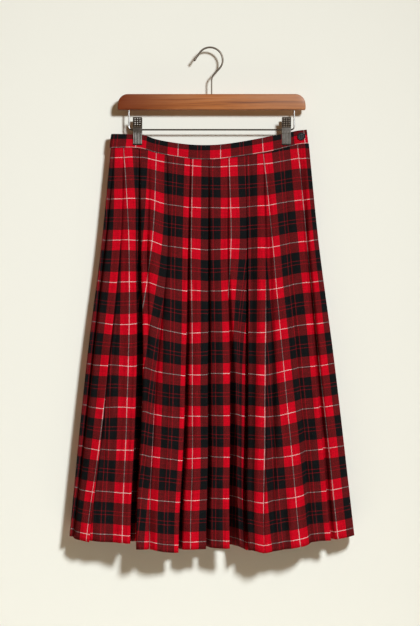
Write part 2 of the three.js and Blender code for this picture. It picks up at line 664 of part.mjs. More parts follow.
const belowHook = new THREE.Group();
belowHook.position.x = BAR_X;
skirtOnHanger.add(belowHook);
addMesh(belowHook, 'hanger_bar', barGeometry(), wood);
addMesh(belowHook, 'hanger_frame', frameGeometry(), steel);
for (const [side, x] of Object.entries(CLIP_X)) {
  addMesh(belowHook, `clip_${side}_front`, frontJaw, clipSteel, x);
  addMesh(belowHook, `clip_${side}_back`, backJaw, clipSteel, x);
  addMesh(belowHook, `clip_${side}_spring`, springGeometry(), steel, x);
}
addMesh(belowHook, 'waistband', bandGeometry(), plaidBand);
addMesh(belowHook, 'skirt_front', panelGeometry(FRONT), plaidFront);
addMesh(belowHook, 'skirt_back', panelGeometry(BACK), plaidBack);
addMesh(belowHook, 'button', buttonGeometry(), buttonResin);

export default skirtOnHanger;
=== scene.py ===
"""A pleated plaid midi skirt, hung by its waistband from a wooden clip hanger.

Lengths in the tables are millimetres, +Z up, the skirt's front towards -Y, x measured from the
middle of the hanger's bar. The frame's origin is the seat of the hanger's hook.
"""

import bpy
import numpy as np
from bpy.props import FloatProperty, FloatVectorProperty, PointerProperty
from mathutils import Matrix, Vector


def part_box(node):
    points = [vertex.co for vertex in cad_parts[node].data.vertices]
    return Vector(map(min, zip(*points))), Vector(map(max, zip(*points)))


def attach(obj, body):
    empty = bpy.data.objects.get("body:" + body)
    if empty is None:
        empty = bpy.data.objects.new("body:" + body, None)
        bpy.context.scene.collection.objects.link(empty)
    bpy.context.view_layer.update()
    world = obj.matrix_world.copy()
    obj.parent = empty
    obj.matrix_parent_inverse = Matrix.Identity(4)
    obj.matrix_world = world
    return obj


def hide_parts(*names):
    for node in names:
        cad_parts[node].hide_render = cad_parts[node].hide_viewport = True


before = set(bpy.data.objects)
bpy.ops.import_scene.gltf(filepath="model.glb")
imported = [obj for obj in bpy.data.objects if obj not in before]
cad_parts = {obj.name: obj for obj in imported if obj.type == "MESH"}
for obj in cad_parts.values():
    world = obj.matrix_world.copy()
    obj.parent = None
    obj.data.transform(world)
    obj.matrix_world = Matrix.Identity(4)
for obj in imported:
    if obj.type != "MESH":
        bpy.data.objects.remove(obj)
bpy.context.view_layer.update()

bl_info = {
    "name": "Plaid Skirt on a Clip Hanger",
    "version": (1, 0, 0),
    "blender": (4, 5, 0),
    "location": "View3D > Sidebar > Skirt",
    "description": "Builds a pleated plaid skirt, its clip hanger and a plain studio",
    "category": "Add Mesh",
}

MM = 0.001
BAR_LOW, BAR_HIGH = (np.array(corner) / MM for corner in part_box("hanger_bar"))
BAR_X = (BAR_LOW[0] + BAR_HIGH[0]) / 2
SEAT_GAP = 0.3                       # left between two pieces that touch

# ------------------------------------------------------------------ the garment's tables
# The band from side to side: its top edge, the waist seam under it, and half the depth between
# its layers. The clips pinch it flat, and it sags and opens between them.
PINCH = 1.5
BAND = np.array([
    # x, top, seam, open
    (-189.5, -163.2, -190.0, 4.6),
    (-162.0, -163.6, -189.2, 4.6),
    (-154.0, -163.9, -189.0, PINCH),
    (-127.5, -165.2, -192.0, PINCH),
    (-110.0, -172.0, -197.6, 4.4),
    (-79.0, -178.8, -204.6, 6.6),
    (-36.0, -184.2, -210.8, 9.0),
    (4.0, -184.6, -212.0, 9.5),
    (41.0, -180.8, -208.0, 9.0),
    (81.0, -173.8, -201.8, 7.0),
    (114.0, -167.0, -195.8, 4.6),
    (129.5, -163.9, -191.6, PINCH),
    (154.5, -158.5, -185.2, PINCH),
    (162.0, -157.2, -183.6, 4.7),
    (180.5, -155.2, -181.4, 4.7),
]).T
BAND_FLARE = 3.0 / BAND[0][-1]       # how much wider the band is at its lower edge
BAND_CUT = {"shows": 28.0, "height": 27.0, "grain": 15.6, "end": 2.2}
UNDERLAP = {"x": 163.0, "y": -0.7, "turn": 179.5}

# Levels down a panel: 0 is the waist seam, 1 the hem. Rows of four values are for these.
LEVELS = (0.0, 0.25, 0.55, 1.0)      # seam, hip, thigh, hem
SIDE_SEAM_Y = (0.0, -2.0, -4.0, -8.0)
SEAM_DROP = 0.2                      # from the waist seam's line to the panels' cut edges

# How the cloth behind an edge comes forward again: over reach + slope * lift, to so much of the
# lift behind. By default it does so steeply; it stays behind up to the next edge where two face.
RISE = {"reach": 2.0, "slope": 0.28, "behind": 0.1}
FACING_RISE = {"reach": 2.0, "slope": 0.0, "behind": 0.92}
SLOT_RISE = {"reach": 0.5, "slope": 0.42, "behind": 0.2}


def fold(lap, x, tuck, lift, out, hem, before=None, after=None, soft=False, rise=RISE):
    """One fold of a panel, a row of its table.

    lap: 1 = the cloth on its left lies in front, -1 = the cloth on its right. x: the fold's edge
    at the four levels. tuck: how deep the hidden cloth runs in behind the edge (negative = open).
    lift: how far the hidden cloth lies behind the edge. out: how far the edge stands out at hip,
    thigh and hem. hem: the height of the hem at the edge and just past it. before, after: the
    place across the uncut cloth where it disappears at the fold, and where it comes out again.
    soft: a step without hidden cloth. rise: how the cloth comes forward again.
    """
    return dict(lap=lap, x=x, tuck=tuck, lift=lift, out=out, hem=hem, before=before, after=after,
                soft=soft, rise=rise)


FRONT = {
    "face": -1,
    "left": dict(x=(-191, -208.6, -236, -268.5), out=(4.6, 7, 10, 17), hem=-924,
                 cloth=(-7.6, -20, -25.7, -21.9)),
    "right": dict(x=(184.2, 202.3, 231.4, 269.6), out=(4.7, 8, 11, 17), hem=-923,
                  cloth=(906.3, 908.2, 909.2, 910.1)),
    "folds": [
        fold(-1, (-183, -199.5, -224, -259), (-2, -2.5, -3.5, -4), (0.2, 1, 3, 4.5),
             (9, 15, 22), (-929, -926), (-1.1, -13.1, -17.7, -16.3), (1.1, -10.1, -14.1, -12.2),
             soft=True),
        fold(1, (-168.3, -173.3, -195.5, -229.4), (11, 18, 15, 0.5), (3, 6, 8, 2.4),
             (12, 21, 34), (-934, -931.5), (15, 14, 15.5, 23), (81.5, 65.8, 48, 25.7)),
        fold(1, (-144.5, -144, -142, -153), (4, 6, 7, 8), (2.6, 11, 21, 28),
             (9, 20, 36), (-935, -934), (105, 95.5, 97.5, 96.7), (110, 110, 124, 128),
             rise=FACING_RISE),
        fold(-1, (-136, -133.4, -129.5, -141.5), (4, 6, 10, 30), (2.6, 17, 32, 42),
             (15.5, 32, 50), (-945.5, -935), (112, 116, 132, 138), (118, 132, 162, 184),
             rise=FACING_RISE),
        fold(1, (-85.8, -84.3, -104.7, -119.6), (22, 22, 12, 4), (3, 6, 10, 10),
             (17, 33, 45), (-946, -947), (168.5, 174.5, 187.5, 209), (232.8, 237.6, 219.5, 212.5)),
        fold(1, (-41.6, -45.5, -49.4, -62.2), (27, 24, 28, 25), (3.8, 13, 20, 26),
             (19, 34, 37), (-953, -948.5), (276.5, 276.1, 275.5, 274.7), (343, 342, 335.2, 325.1)),
        fold(1, (-7, -7, -7, -10.5), (21, 24, 27, 27), (3.8, 12, 18, 22),
             (19, 33, 34), (-946.5, -943.5), (377, 377.5, 378.1, 379.1), (443.5, 441.8, 437.6, 433.4)),
        fold(1, (29.8, 30, 33.4, 34), (23, 24, 26, 36), (3.4, 8, 23, 43),
             (19, 33, 43), (-944.5, -941), (478.4, 478.4, 478.8, 478.8), (544.9, 542, 562, 574),
             rise=SLOT_RISE),
        fold(-1, (65.6, 68.9, 68.6, 68.4), (12, 12, 12, 14), (1.6, 8, 27, 42),
             (19, 34, 50), (-948, -952.5), (581.4, 581.4, 622, 604), (647.9, 647.9, 651.6, 653.4),
             rise=FACING_RISE),
        fold(1, (97, 101.5, 101.8, 97.5), (11, 14, 14, 0.5), (3.6, 12, 12, 2.4),
             (17, 33, 50), (-952.2, -952), (675, 680.4, 683.5, 681), (747, 730.8, 710.6, 682.1)),
        fold(1, (139, 144.5, 158.6, 183.4), (-4, -4, -4, -4), (0.4, 3, 8, 12),
             (13, 27, 42), (-938.5, -934.5), (788.5, 781.9, 774.3, 763), (792.3, 785.1, 778.1, 768.7),
             soft=True),
        fold(1, (165.6, 176.3, 194.9, 224.8), (6, 19, 22, 22), (3.6, 14, 20, 20),
             (12, 21, 31), (-931, -930), (817.5, 809, 808, 810), (883.5, 875.4, 872.1, 867)),
    ],
}

BACK = {
    "face": 1,
    "left": dict(x=(-191, -208.6, -236, -268.5), out=(4.6, 6, 7, 8), hem=-924),
    "right": dict(x=(184.2, 202.3, 231.4, 269.6), out=(4.7, 6, 7, 8), hem=-923),
    "folds": [
        fold(-1, (-171, -182, -203, -231), (8, 20, 22, 21), (3, 3.4, 4.4, 6),
             (8, 11, 15), (-930, -929)),
        fold(-1, (-112, -122, -138, -166), (14, 24, 24, 19), (3, 3.4, 4.8, 7),
             (9, 13, 18), (-938, -936)),
        fold(-1, (-72, -77, -88, -101), (24, 26, 25, 26), (3, 3.4, 5, 8),
             (10, 14, 18), (-943, -941)),
        fold(-1, (-27, -29, -33, -42), (26, 27, 28, 24), (3, 3.4, 4.6, 7),
             (11, 15, 19), (-945, -943)),
        fold(-1, (18, 19, 19, 27), (26, 26, 27, 29), (3, 3.4, 5, 8),
             (11, 15, 18), (-946, -943)),
        fold(-1, (62, 66, 76, 88), (24, 26, 28, 24), (3, 3.4, 4.8, 7.5),
             (10, 14, 18), (-944, -942)),
        fold(-1, (103, 112, 131, 155), (8, 22, 25, 22), (3, 3.4, 5, 7),
             (9, 13, 18), (-939, -937)),
        fold(-1, (150, 166, 190, 219), (-4, -5, -6, -7), (0.4, 2, 4, 6),
             (8, 11, 15), (-931, -929), soft=True),
    ],
}
FOLD_SHUT = 8.0                      # a fold tucked in by this much lies fully turned
FOLD_CLEAR = 1.0                     # how far past an edge the cloth behind it starts to rise
LAYER = {"pitch": 1.5, "growth": 0.3, "most": 0.48}  # how far apart the layers lie, as they lift
PANEL_LENGTH = 742.8                 # down the uncut cloth, from the seam to the hem
HIDDEN_PLEAT = 66.5                  # one repeat of the cloth goes into each pressed pleat
COLUMN_PITCH = 2.7                   # from column to column of a panel's mesh, about

# Where the waist seam cuts the cloth: how far above the level of a straight grain line, by x.
GRAIN_AT_SEAM = np.array([
    # x, start
    (-190.0, -5.0),
    (-166.6, -4.8),
    (-100.9, -1.0),
    (-35.5, 0.3),
    (32.9, -2.6),
    (99.4, -7.7),
    (163.2, -13.4),
    (186.0, -15.0),
]).T

# Troughs (+) and ridges (-) laid over a panel: x, depth and half width at the four levels.
FRONT_CREASES = [
    ((-185, -202.5, -227, -262), (1, 9, 12, 9), (3.6, 4, 4.5, 5)),
    ((-164, -169, -187, -222), (0, 1.2, 2.5, 2), (5, 5, 6, 8)),
    ((-156, -156, -158, -170), (-0.5, -2.5, -3, -3), (8, 8, 9, 11)),
    ((-118, -121.5, -122, -134), (0, 11, 2, 0), (3.2, 4.2, 5, 8)),
    ((-104, -106, -112, -126), (0, -1, -2, -2.5), (8, 8, 9, 11)),
    ((-80, -80, -98, -112), (0, 2, 3, 4), (5, 6, 7, 8)),
    ((-64, -62, -74, -88), (0, -1, -2, -3), (8, 8, 9, 11)),
    ((-24, -26, -28, -36), (0, -1, -2, -3), (8, 8, 9, 11)),
    ((12, 13, 15, 17), (0, -1, -1.8, -2.4), (8, 8, 9, 10)),
    ((50, 52, 52, 54), (0, -1.5, -4, -6), (8, 7, 5, 4.5)),
    ((70, 74, 73, 77), (1.5, 6, 7, 8), (8, 10, 12, 13)),
    ((91, 94, 92, 86), (-1, -5, -4, -3), (12, 13, 13, 14)),
    ((107, 109, 113, 116), (0.5, 6, 12, 10), (5, 7, 11, 11)),
    ((122, 124, 128, 140), (0, -1, 1.6, 6), (9, 9, 12, 18)),
    ((136, 144, 157, 184), (0, 5, 9, 9), (6, 6, 8, 10)),
    ((-146, -146, -144, -155), (0, -1, -4, -8), (8, 8, 9, 12)),
    ((171, 182, 201, 231), (1.5, 8, 9, 7), (4.5, 5, 6, 7)),
]
BACK_CREASES = [
    ((-145, -152, -170, -200), (0, 1, 2, 3), (9, 11, 13, 16)),
    ((-92, -99, -113, -133), (0, -0.8, -1.5, -2.5), (8, 10, 12, 15)),
    ((-50, -53, -60, -71), (0, 0.8, 1.6, 2.6), (9, 10, 12, 14)),
    ((-5, -5, -7, -8), (0, -0.7, -1.6, -2.4), (9, 10, 12, 14)),
    ((40, 42, 48, 58), (0, 0.9, 1.8, 2.8), (9, 10, 12, 15)),
    ((84, 90, 104, 122), (0, -0.8, -1.4, -2.2), (9, 10, 12, 15)),
    ((128, 140, 160, 188), (0, 1, 2, 3.2), (9, 11, 13, 16)),
]
# Where the cloth is hitched up: x, rise and half width at the four levels.
FRONT_HITCHES = [((-112, -116, -124, -132), (0, 5.5, 3, 0), (20, 26, 28, 28))]

# Long ripples over a panel: wave lengths over x and z, and how deep at the seam and more per level.
RIPPLES = [(44.0, 420.0, 0.25, 1.1), (21.0, 160.0, 0.16, 0.34)]

# ------------------------------------------------------------------ the hanger's tables
HOOK_LOOP = {"radius": 24.0, "opens": 145.5, "neck": -43.0, "tip": 17.0, "bend": 8.0}
HOOK_SWELL = {"tip": 1.2, "bead": 0.3, "slims": 0.32, "from": 74, "to": 92}
ROD_Z = -155.0
CLIP_MIDDLE = {"left": -140.5, "right": 142.0}
RIB_PITCH = 17.2 / 6
DOTS = {"across": 4.6, "down": 3.6, "top": -134.8}
LEG_X = 157.0
LEG_BEND = 8.0
SOCKET = 11.0                        # how far a wire's end is let into the bar
BAR_SHAPE = {"reach": 19.5, "drop": 21.0, "edge": 2.8}
BUTTON = {"radius": 7.5, "depth": 3.0, "hole": 0.85, "hole_circle": 2.2, "sides": 64}
# The button's stitches: half their length, half the gap between two side by side, their thread's
# radius, how deep they lie, and how much deeper at their ends.
STITCH = {"reach": 2.25, "apart": 0.22, "radius": 0.2, "deep": 0.55, "dips": 1.1}
# The heights over which a clip's grip, its face and its lip fade in.
JAW = {"grip": (-151.0, -149.5), "face": (-156.5, -159.0), "lip": (-181.2, -182.2)}

# The plaid: where a white line lies, and the red part of a repeat.
STRIPES = {"across": (16.6, 0.475), "down": (13.6, 0.49)}
# Colours that are not settings: painted shade for the bar's left end and painted light for its right
# end, painted shade for the frame wire's underside, and the button's thread.
WOOD_SHADE_AND_LIGHT_ENDS = {"left": (0.13, 0.016, 0.0005), "right": (0.42, 0.20, 0.105)}
UNDERSIDE_SHADE_STEEL = (0.085, 0.062, 0.045)
THREAD_DARK, THREAD_LIGHT = (0.02, 0.018, 0.018), (0.05, 0.045, 0.045)

# ------------------------------------------------------------------ the studio's tables, in metres
FLOOR_Z = -1.9
WALL_SIZE = {"half": 3.5, "top": 2.2}
FLOOR_SIZE = {"half": 1.3, "near": -1.0, "far": 0.4}
KEY_LAMP = dict(stands=(0.78, -1.75, 0.52), aim=(-1.9, 0.0, -2.2), size=0.38,
                colour=(0.87, 0.96, 1.03))
BACK_LAMP = dict(stands=(-1.6, 3.6, 1.2), aim=(0.0, 0.0, -0.5), size=0.9,
                 colour=(1.0, 0.98, 0.95))
BACK_POWER = 0.3                     # of the key light's
AIR_COLOUR = (1.0, 0.65, 0.33, 1.0)
CAMERA_Z = -0.503


# ------------------------------------------------------------------ curves and surfaces
def curve(knots, values, t):
    """Cubic curve through the values at the knots; each knot's slope is the mean of its sides."""
    knots, values, t = (np.asarray(a, float) for a in (knots, values, t))
    slope = np.diff(values) / np.diff(knots)
    tangent = np.concatenate([slope[:1], (slope[1:] + slope[:-1]) / 2, slope[-1:]])
    i = np.clip(np.searchsorted(knots, t) - 1, 0, len(knots) - 2)
    span = knots[i + 1] - knots[i]
    s = (t - knots[i]) / span
    rise = s * s * (3 - 2 * s)
    return (values[i] + (values[i + 1] - values[i]) * rise
            + span * (tangent[i] * (s**3 - 2 * s**2 + s) + tangent[i + 1] * (s**3 - s**2)))


def down(values, t):
    """A table's four values, as a smooth curve over the levels t."""
    return curve(LEVELS, values, t)


def band_line(row, x):
    """The height of the band's top edge (row 1) or of the waist seam (row 2)."""
    return curve(BAND[0], BAND[row], np.clip(x, BAND[0][0], BAND[0][-1]))


def band_open(x):
    return np.interp(x, BAND[0], BAND[3])


def smooth_step(low, high, x):
    """0 below low, 1 above high, with a smooth cubic between."""
    s = np.clip((x - low) / (high - low), 0, 1)
    return s * s * (3 - 2 * s)


def bell(away, width):
    """1 in the middle, about an eighth at the width."""
    return np.exp(-2 * (away / width) ** 2)


def ripples(x, z, seed, across, along, count=7):
    """Sum of long sine waves of unlike lengths and directions, about -1 to 1.

    across and along are the usual wave lengths over x and z; the phases come from the seed.
    """
    rng = np.random.default_rng(seed)
    total = np.zeros(np.broadcast(x, z).shape)
    for _ in range(count):
        kx = 2 * np.pi / (across * rng.uniform(0.7, 1.6)) * rng.choice((-1, 1))
        kz = 2 * np.pi / (along * rng.uniform(0.7, 1.8))
        total = total + np.sin(kx * x + kz * z + rng.uniform(0, 2 * np.pi))
    return total / np.sqrt(count)


def stretch(start, end, count):
    """count points strictly between two corners, evenly spaced."""
    return [start + (end - start) * k / (count + 1) for k in range(1, count + 1)]


def bend(start, corner, end, steps):
    """Points along the quadratic curve between two points that is pulled towards the corner."""
    start, corner, end = (np.asarray(p, float) for p in (start, corner, end))
    return [(1 - s) ** 2 * start + 2 * s * (1 - s) * corner + s * s * end
            for s in np.linspace(0, 1, steps + 1)]


def rounded(before, here, after, radius, steps):
    """A corner turned into a bend that starts and ends radius away from it."""
    def towards(other):
        length = np.maximum(np.hypot(*(other - here)[:2]), 1e-6)
        return here + (other - here) * np.minimum(radius / length, 0.45)
    return bend(towards(before), here, towards(after), steps)


def nose(first, middle, last):
    """The cloth's turn at a fold: a bend from first to last that passes middle."""
    return bend(first, 2 * middle - (first + last) / 2, last, 4)


def cells(grid):
    """The four corners of each cell of a grid of numbers."""
    return np.stack([grid[:-1, :-1], grid[:-1, 1:], grid[1:, 1:], grid[1:, :-1]], -1).reshape(-1, 4)


def mesh_from_grid(name, points, uv=None, closed=False):
    """A grid of points (rows, columns, 3) in mm becomes a mesh in metres.

    closed makes a solid of it: the last column joins the first, a face closes the first and the
    last row, and the faces look outwards. uv is a grid in mm, with one column more if closed.
    """
    rows, columns, _ = points.shape
    at = np.arange(rows * columns).reshape(rows, columns)
    faces = cells(np.hstack([at, at[:, :1]]) if closed else at).tolist()
    if closed:
        faces += [at[0].tolist(), at[-1][::-1].tolist()]
    mesh = bpy.data.meshes.new(name)
    mesh.from_pydata((points.reshape(-1, 3) * MM).tolist(), [], faces)
    if uv is not None:
        corners = cells(np.arange(uv.shape[0] * uv.shape[1]).reshape(uv.shape[:2])).ravel()
        flat = uv.reshape(-1, 2)[corners] * MM
        if closed:
            flat = np.vstack([flat, np.repeat(flat[:1], 2 * columns, 0)])
        layer = mesh.uv_layers.new(name="cloth")
        layer.data.foreach_set("uv", flat.astype(np.float32).ravel())
    mesh.polygons.foreach_set("use_smooth", np.ones(len(mesh.polygons), bool))
    mesh.update()
    if closed:
        face_outwards(mesh)
    return mesh


def face_outwards(mesh):
    """Turns a closed mesh's faces outwards if its volume comes out negative."""
    mesh.calc_loop_triangles()
    corners = np.empty(len(mesh.loop_triangles) * 3, np.int32)
    mesh.loop_triangles.foreach_get("vertices", corners)
    points = np.empty(len(mesh.vertices) * 3)
    mesh.vertices.foreach_get("co", points)
    a, b, c = points.reshape(-1, 3)[corners.reshape(-1, 3)].transpose(1, 0, 2)
    if np.einsum("ij,ij->", a, np.cross(b, c)) < 0:
        mesh.flip_normals()


def place(name, mesh, material, *nodes, slot):
    """Puts a finished mesh into the scene in place of CAD nodes, on the one body."""
    piece = bpy.data.objects.new(name, mesh)
    bpy.context.scene.collection.objects.link(piece)
    mesh.materials.append(material)
    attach(piece, "root")
    if nodes:
        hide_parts(*nodes)
    return piece


# ------------------------------------------------------------------ shader expressions
class Number:
    """A number that varies over a surface. Its operators add Math nodes."""

    def __init__(self, graph, socket):
        self.graph, self.socket = graph, socket

    def __add__(self, other):
        return self.graph.math("ADD", self, other)

    def __sub__(self, other):
        return self.graph.math("SUBTRACT", self, other)

    def __rsub__(self, other):
        return self.graph.math("SUBTRACT", other, self)

    def __mul__(self, other):
        return self.graph.math("MULTIPLY", self, other)

    def __truediv__(self, other):
        return self.graph.math("DIVIDE", self, other)

    __radd__, __rmul__ = __add__, __mul__


class Graph:
    """The node tree of one material."""

    def __init__(self, name):
        self.material = bpy.data.materials.new(name)
        self.material.use_nodes = True
        self.tree = self.material.node_tree
        self.shader = self.tree.nodes["Principled BSDF"]

    def plug(self, socket, value):
        if isinstance(value, Number):
            self.tree.links.new(value.socket, socket)
        else:
            socket.default_value = value

    def node(self, kind, *values, settings=None, output=0, **inputs):
        """Adds a node: its settings first, then its sockets' values or links, in order or by name."""
        node = self.tree.nodes.new("ShaderNode" + kind)
        for key, value in (settings or {}).items():
            setattr(node, key, value)
        for socket, value in zip(node.inputs, values):
            self.plug(socket, value)
        for key, value in inputs.items():
            self.plug(node.inputs[key.replace("_", " ")], value)
        return Number(self, node.outputs[output])

    def math(self, operation, *values):
        return self.node("Math", *values, settings={"operation": operation})

    def rounded_step(self, low, high, value):
        """0 below low, 1 above high, smooth between."""
        return self.node("MapRange", value, low, high, settings={"interpolation_type": "SMOOTHSTEP"})

    def wave(self, operation, value, length):
        """The sine or cosine of a place, with the given wave length."""
        return self.math(operation, value * (2 * np.pi / length))

    def colour(self, factor, first, second, blend="MIX"):
        """Mixes two colours."""
        node = self.tree.nodes.new("ShaderNodeMix")
        node.data_type, node.blend_type = "RGBA", blend
        for socket, value in ((0, factor), (6, first), (7, second)):
            self.plug(node.inputs[socket], value)
        return Number(self, node.outputs[2])

    def shaded(self, colour, shade):
        """A colour times a number."""
        return self.colour(1.0, colour, self.vector(shade, shade, shade), "MULTIPLY")

    def ramp(self, factor, stops):
        """A colour ramp; stops are (position, colour)."""
        node = self.tree.nodes.new("ShaderNodeValToRGB")
        elements = node.color_ramp.elements
        for element, (position, tint) in zip(elements, (stops[0], stops[-1])):
            element.position, element.color = position, tint
        for position, tint in stops[1:-1]:
            elements.new(position).color = tint
        self.plug(node.inputs[0], factor)
        return Number(self, node.outputs[0])

    def parts(self, vector):
        """The three numbers of a vector."""
        node = self.tree.nodes.new("ShaderNodeSeparateXYZ")
        self.plug(node.inputs[0], vector)
        return [Number(self, output) for output in node.outputs]

    def vector(self, *values):
        return self.node("CombineXYZ", *values)

    def here(self):
        """The point on the object, in metres."""
        return self.node("TexCoord", output=3)

    def noise(self, vector, scale, detail=2.0, roughness=0.5):
        return self.node("TexNoise", Vector=vector, Scale=scale, Detail=detail, Roughness=roughness)

    def bump(self, height, strength, distance, **normal):
        return self.node("Bump", Height=height, Strength=strength, Distance=distance, **normal)

    def finish(self, **sockets):
        """Sets the shader's own sockets."""
        for key, value in sockets.items():
            self.plug(self.shader.inputs[key.replace("_", " ")], value)
        return self.material


def rgba(colour, scale=1.0):
    return tuple(channel * scale for channel in colour[:3]) + (1.0,)


def plaid(name, sett):
    """Twill plaid: stripes over and under, shown by turns along the twill's diagonals.

    Across the cloth (first coordinate of its map) the warp is half red, half black, with a white
    line in the red and two red lines in the black. Down the cloth the weft is the same at its own
    repeat. A diagonal wave picks which of the two lies on top.
    """
    g = Graph(name)
    cloth = g.node("UVMap", settings={"uv_map": "cloth"})
    u_m, v_m, _ = g.parts(cloth)
    wander = g.noise(cloth, 9.0, 2.0) - 0.5
    u = u_m * 1000.0 + wander * 1.6
    v = v_m * 1000.0 + (g.noise(cloth, 7.0, 2.0) - 0.5) * 1.6

    def stripes(place, repeat, white_at, red_part):
        """Masks of the red yarn (block and thin lines) and of the white line, in one direction."""
        def within(half, away, outer=0.35, inner=0.25):
            return 1.0 - g.rounded_step(half - inner, half + outer, away)

        phase = g.math("FRACT", (place - white_at) / repeat + 0.5) * repeat - repeat / 2
        apart = g.math("ABSOLUTE", phase)
        block = within(repeat * red_part / 2, apart, inner=0.35)
        white = within(sett.white_line / 2, apart)
        off_centre = g.math("ABSOLUTE", (repeat / 2 - apart) - sett.thin_apart / 2)
        thin = within(sett.thin_line / 2, off_centre, outer=0.3)
        return g.math("MAXIMUM", block, thin * sett.thin_share), white

    def yarn(masks, shade, brightness):
        """The colour of a thread: black, red where a mask says so, white on the white line."""
        red, white = masks
        base = g.colour(white, g.colour(red, rgba(sett.black), rgba(sett.red)),
                        rgba(sett.white, brightness))
        return g.colour(1.0, base, shade, "MULTIPLY")

    def streaks(along, across, slice_at):
        """Threads that are a little lighter and darker than their neighbours."""
        fine = g.noise(g.vector(across * 0.6, along * 0.035, slice_at), 1.0, 3.0, 0.8)
        shade = fine * 1.7 + 0.15
        return g.vector(shade, shade, shade)

    lengthwise = stripes(u, sett.across, *STRIPES["across"])
    crosswise = stripes(v, sett.down, *STRIPES["down"])
    warp, weft = yarn(lengthwise, streaks(v, u, 3.1), 0.7), yarn(crosswise, streaks(u, v, 7.7), 1.0)
    unlike = g.math("ABSOLUTE", lengthwise[0] - crosswise[0])
    thread = sett.thread
    diagonal = g.math("FRACT", (u + v) / (4 * thread))
    over = g.rounded_step(0.18, 0.30, diagonal) * (1.0 - g.rounded_step(0.68, 0.80, diagonal))
    mottle = g.noise(g.vector(u, v), 0.55, 2.0, 0.6)
    picks = g.colour(over, weft, warp)
    shade = mottle + 0.5
    blended = g.colour(unlike * sett.sunk, picks, rgba(sett.heather))
    colour = g.shaded(blended, shade)

    ribs = g.wave("SINE", diagonal, 1.0)
    threads = g.wave("SINE", u, thread) * over
    picks_bump = g.wave("SINE", v, thread) * (1.0 - over)
    weave = g.bump(ribs * 0.5 + (threads + picks_bump) * 0.35, 0.35, 0.00012)
    crumple = g.noise(cloth, 38.0, 3.0, 0.55)
    pressed = g.noise(g.vector(u * 0.15, v * 0.012), 1.0, 2.0, 0.5)
    soft = g.bump(pressed, 0.5, 0.003, Normal=weave)
    return g.finish(Base_Color=colour, Roughness=mottle * 0.1 + 0.82,
                    Normal=g.bump(crumple, 0.35, 0.0012, Normal=soft), Specular_IOR_Level=0.05)


def stained_wood(name, finish):
    """Wood: long soft bands of dark and light grain along the bar, fine pores, lacquer on top; painted
    shade darkens its left end and painted light brightens its right end.
    """
    g = Graph(name)
    here = g.here()
    x, y, z = g.parts(here)
    waver = (g.noise(g.vector(x * 5.0, y * 14.0, z * 14.0), 1.0, 2.0) - 0.5) * 0.012
    across = g.vector(x * 2.2, (y + waver) * 60.0, (z + waver) * 120.0)
    bands = g.noise(across, 1.6, 4.0, 0.6)
    pores = g.noise(g.vector(x * 30.0, y * 900.0, z * 900.0), 1.0, 2.0, 0.6)
    colour = g.ramp(bands, [(0.34, rgba(finish.dark)), (0.50, rgba(finish.middle)),
                            (0.68, rgba(finish.light))])
    dark_pore = g.rounded_step(0.52, 0.72, pores)
    colour = g.colour(dark_pore * 0.30, colour, rgba(finish.dark, 0.6))
    # Painted shade towards the bar's left end and painted light towards its right end, blended into the
    # wood's colour.
    for start, end, share, side in ((0.02, -0.19, 0.9, "left"), (0.0, 0.19, 0.45, "right")):
        colour = g.colour(g.rounded_step(start, end, x) * share, colour, rgba(WOOD_SHADE_AND_LIGHT_ENDS[side]))
    return g.finish(Base_Color=colour, Roughness=bands * 0.16 + 0.36, Coat_Weight=0.08,
                    Coat_Roughness=0.25, Specular_IOR_Level=0.2,
                    Normal=g.bump(pores + bands * 0.5, 0.12, 0.0003))


def metal(name, tint, rough, streak, scale, shade_painted_below=None):
    """Plated steel: fine drawing marks that run along one way, and a faint cloud of tarnish.

    Below shade_painted_below, a height in metres, the steel is coloured dull and brown: painted shade
    on the wire's underside.
    """
    g = Graph(name)
    here = g.here()
    x, y, z = g.parts(here)
    marks = g.noise(g.vector(x * scale[0], y * scale[1], z * scale[2]), 1.0, 3.0, 0.6)
    cloud = g.noise(here, 70.0, 3.0, 0.6)
    colour = g.colour(g.rounded_step(0.35, 0.75, cloud) * 0.45, rgba(tint), rgba(tint, 0.5))
    if shade_painted_below is not None:
        # Painted shade: below that height the wire is coloured darker and browner, standing in for the
        # shaded underside of the rod.
        colour = g.colour(g.rounded_step(shade_painted_below, shade_painted_below - 0.003, z), colour, rgba(UNDERSIDE_SHADE_STEEL))
    return g.finish(Base_Color=colour, Metallic=1.0, Normal=g.bump(marks, 0.15, 0.0001),
                    Roughness=marks * streak + cloud * 0.12 + rough)


def pressed_steel(name, tint, middle, dot_highlight):
    """A clip's jaw, its relief painted into its colour: painted highlights on the ribs of its lower
    face and the dots of its grip, painted shade between them.

    Ribs and dots are rounded waves of x measured from the jaw's middle, and of height.
    """
    g = Graph(name)
    here = g.here()
    x_m, _, z_m = g.parts(here)
    x, z = x_m * 1000.0 - middle, z_m * 1000.0
    ribs = 0.5 - g.wave("COSINE", x, RIB_PITCH) * 0.5
    dots = (0.5 + g.wave("COSINE", x, DOTS["across"]) * 0.5) * (
        0.5 + g.wave("COSINE", z - DOTS["top"], DOTS["down"]) * 0.5)
    grip, face, lip = (g.rounded_step(*JAW[part], z) for part in ("grip", "face", "lip"))
    # Painted highlight and shade: ribs and dots bright, the ground between them dark, the lip at the
    # foot dark; dot_highlight sets how bright the dots are painted.
    height = dots * grip * dot_highlight + ribs * face * 0.7 + (1.0 - grip) * (1.0 - face) * 0.28
    cloud = g.noise(here, 90.0, 3.0, 0.6)
    colour = g.colour(height * (1.0 - lip) * (cloud * 0.8 + 0.6), rgba(tint, 0.16), rgba(tint))
    return g.finish(Base_Color=colour, Metallic=1.0, Roughness=cloud * 0.2 + 0.26,
                    Normal=g.bump(cloud, 0.15, 0.0002))


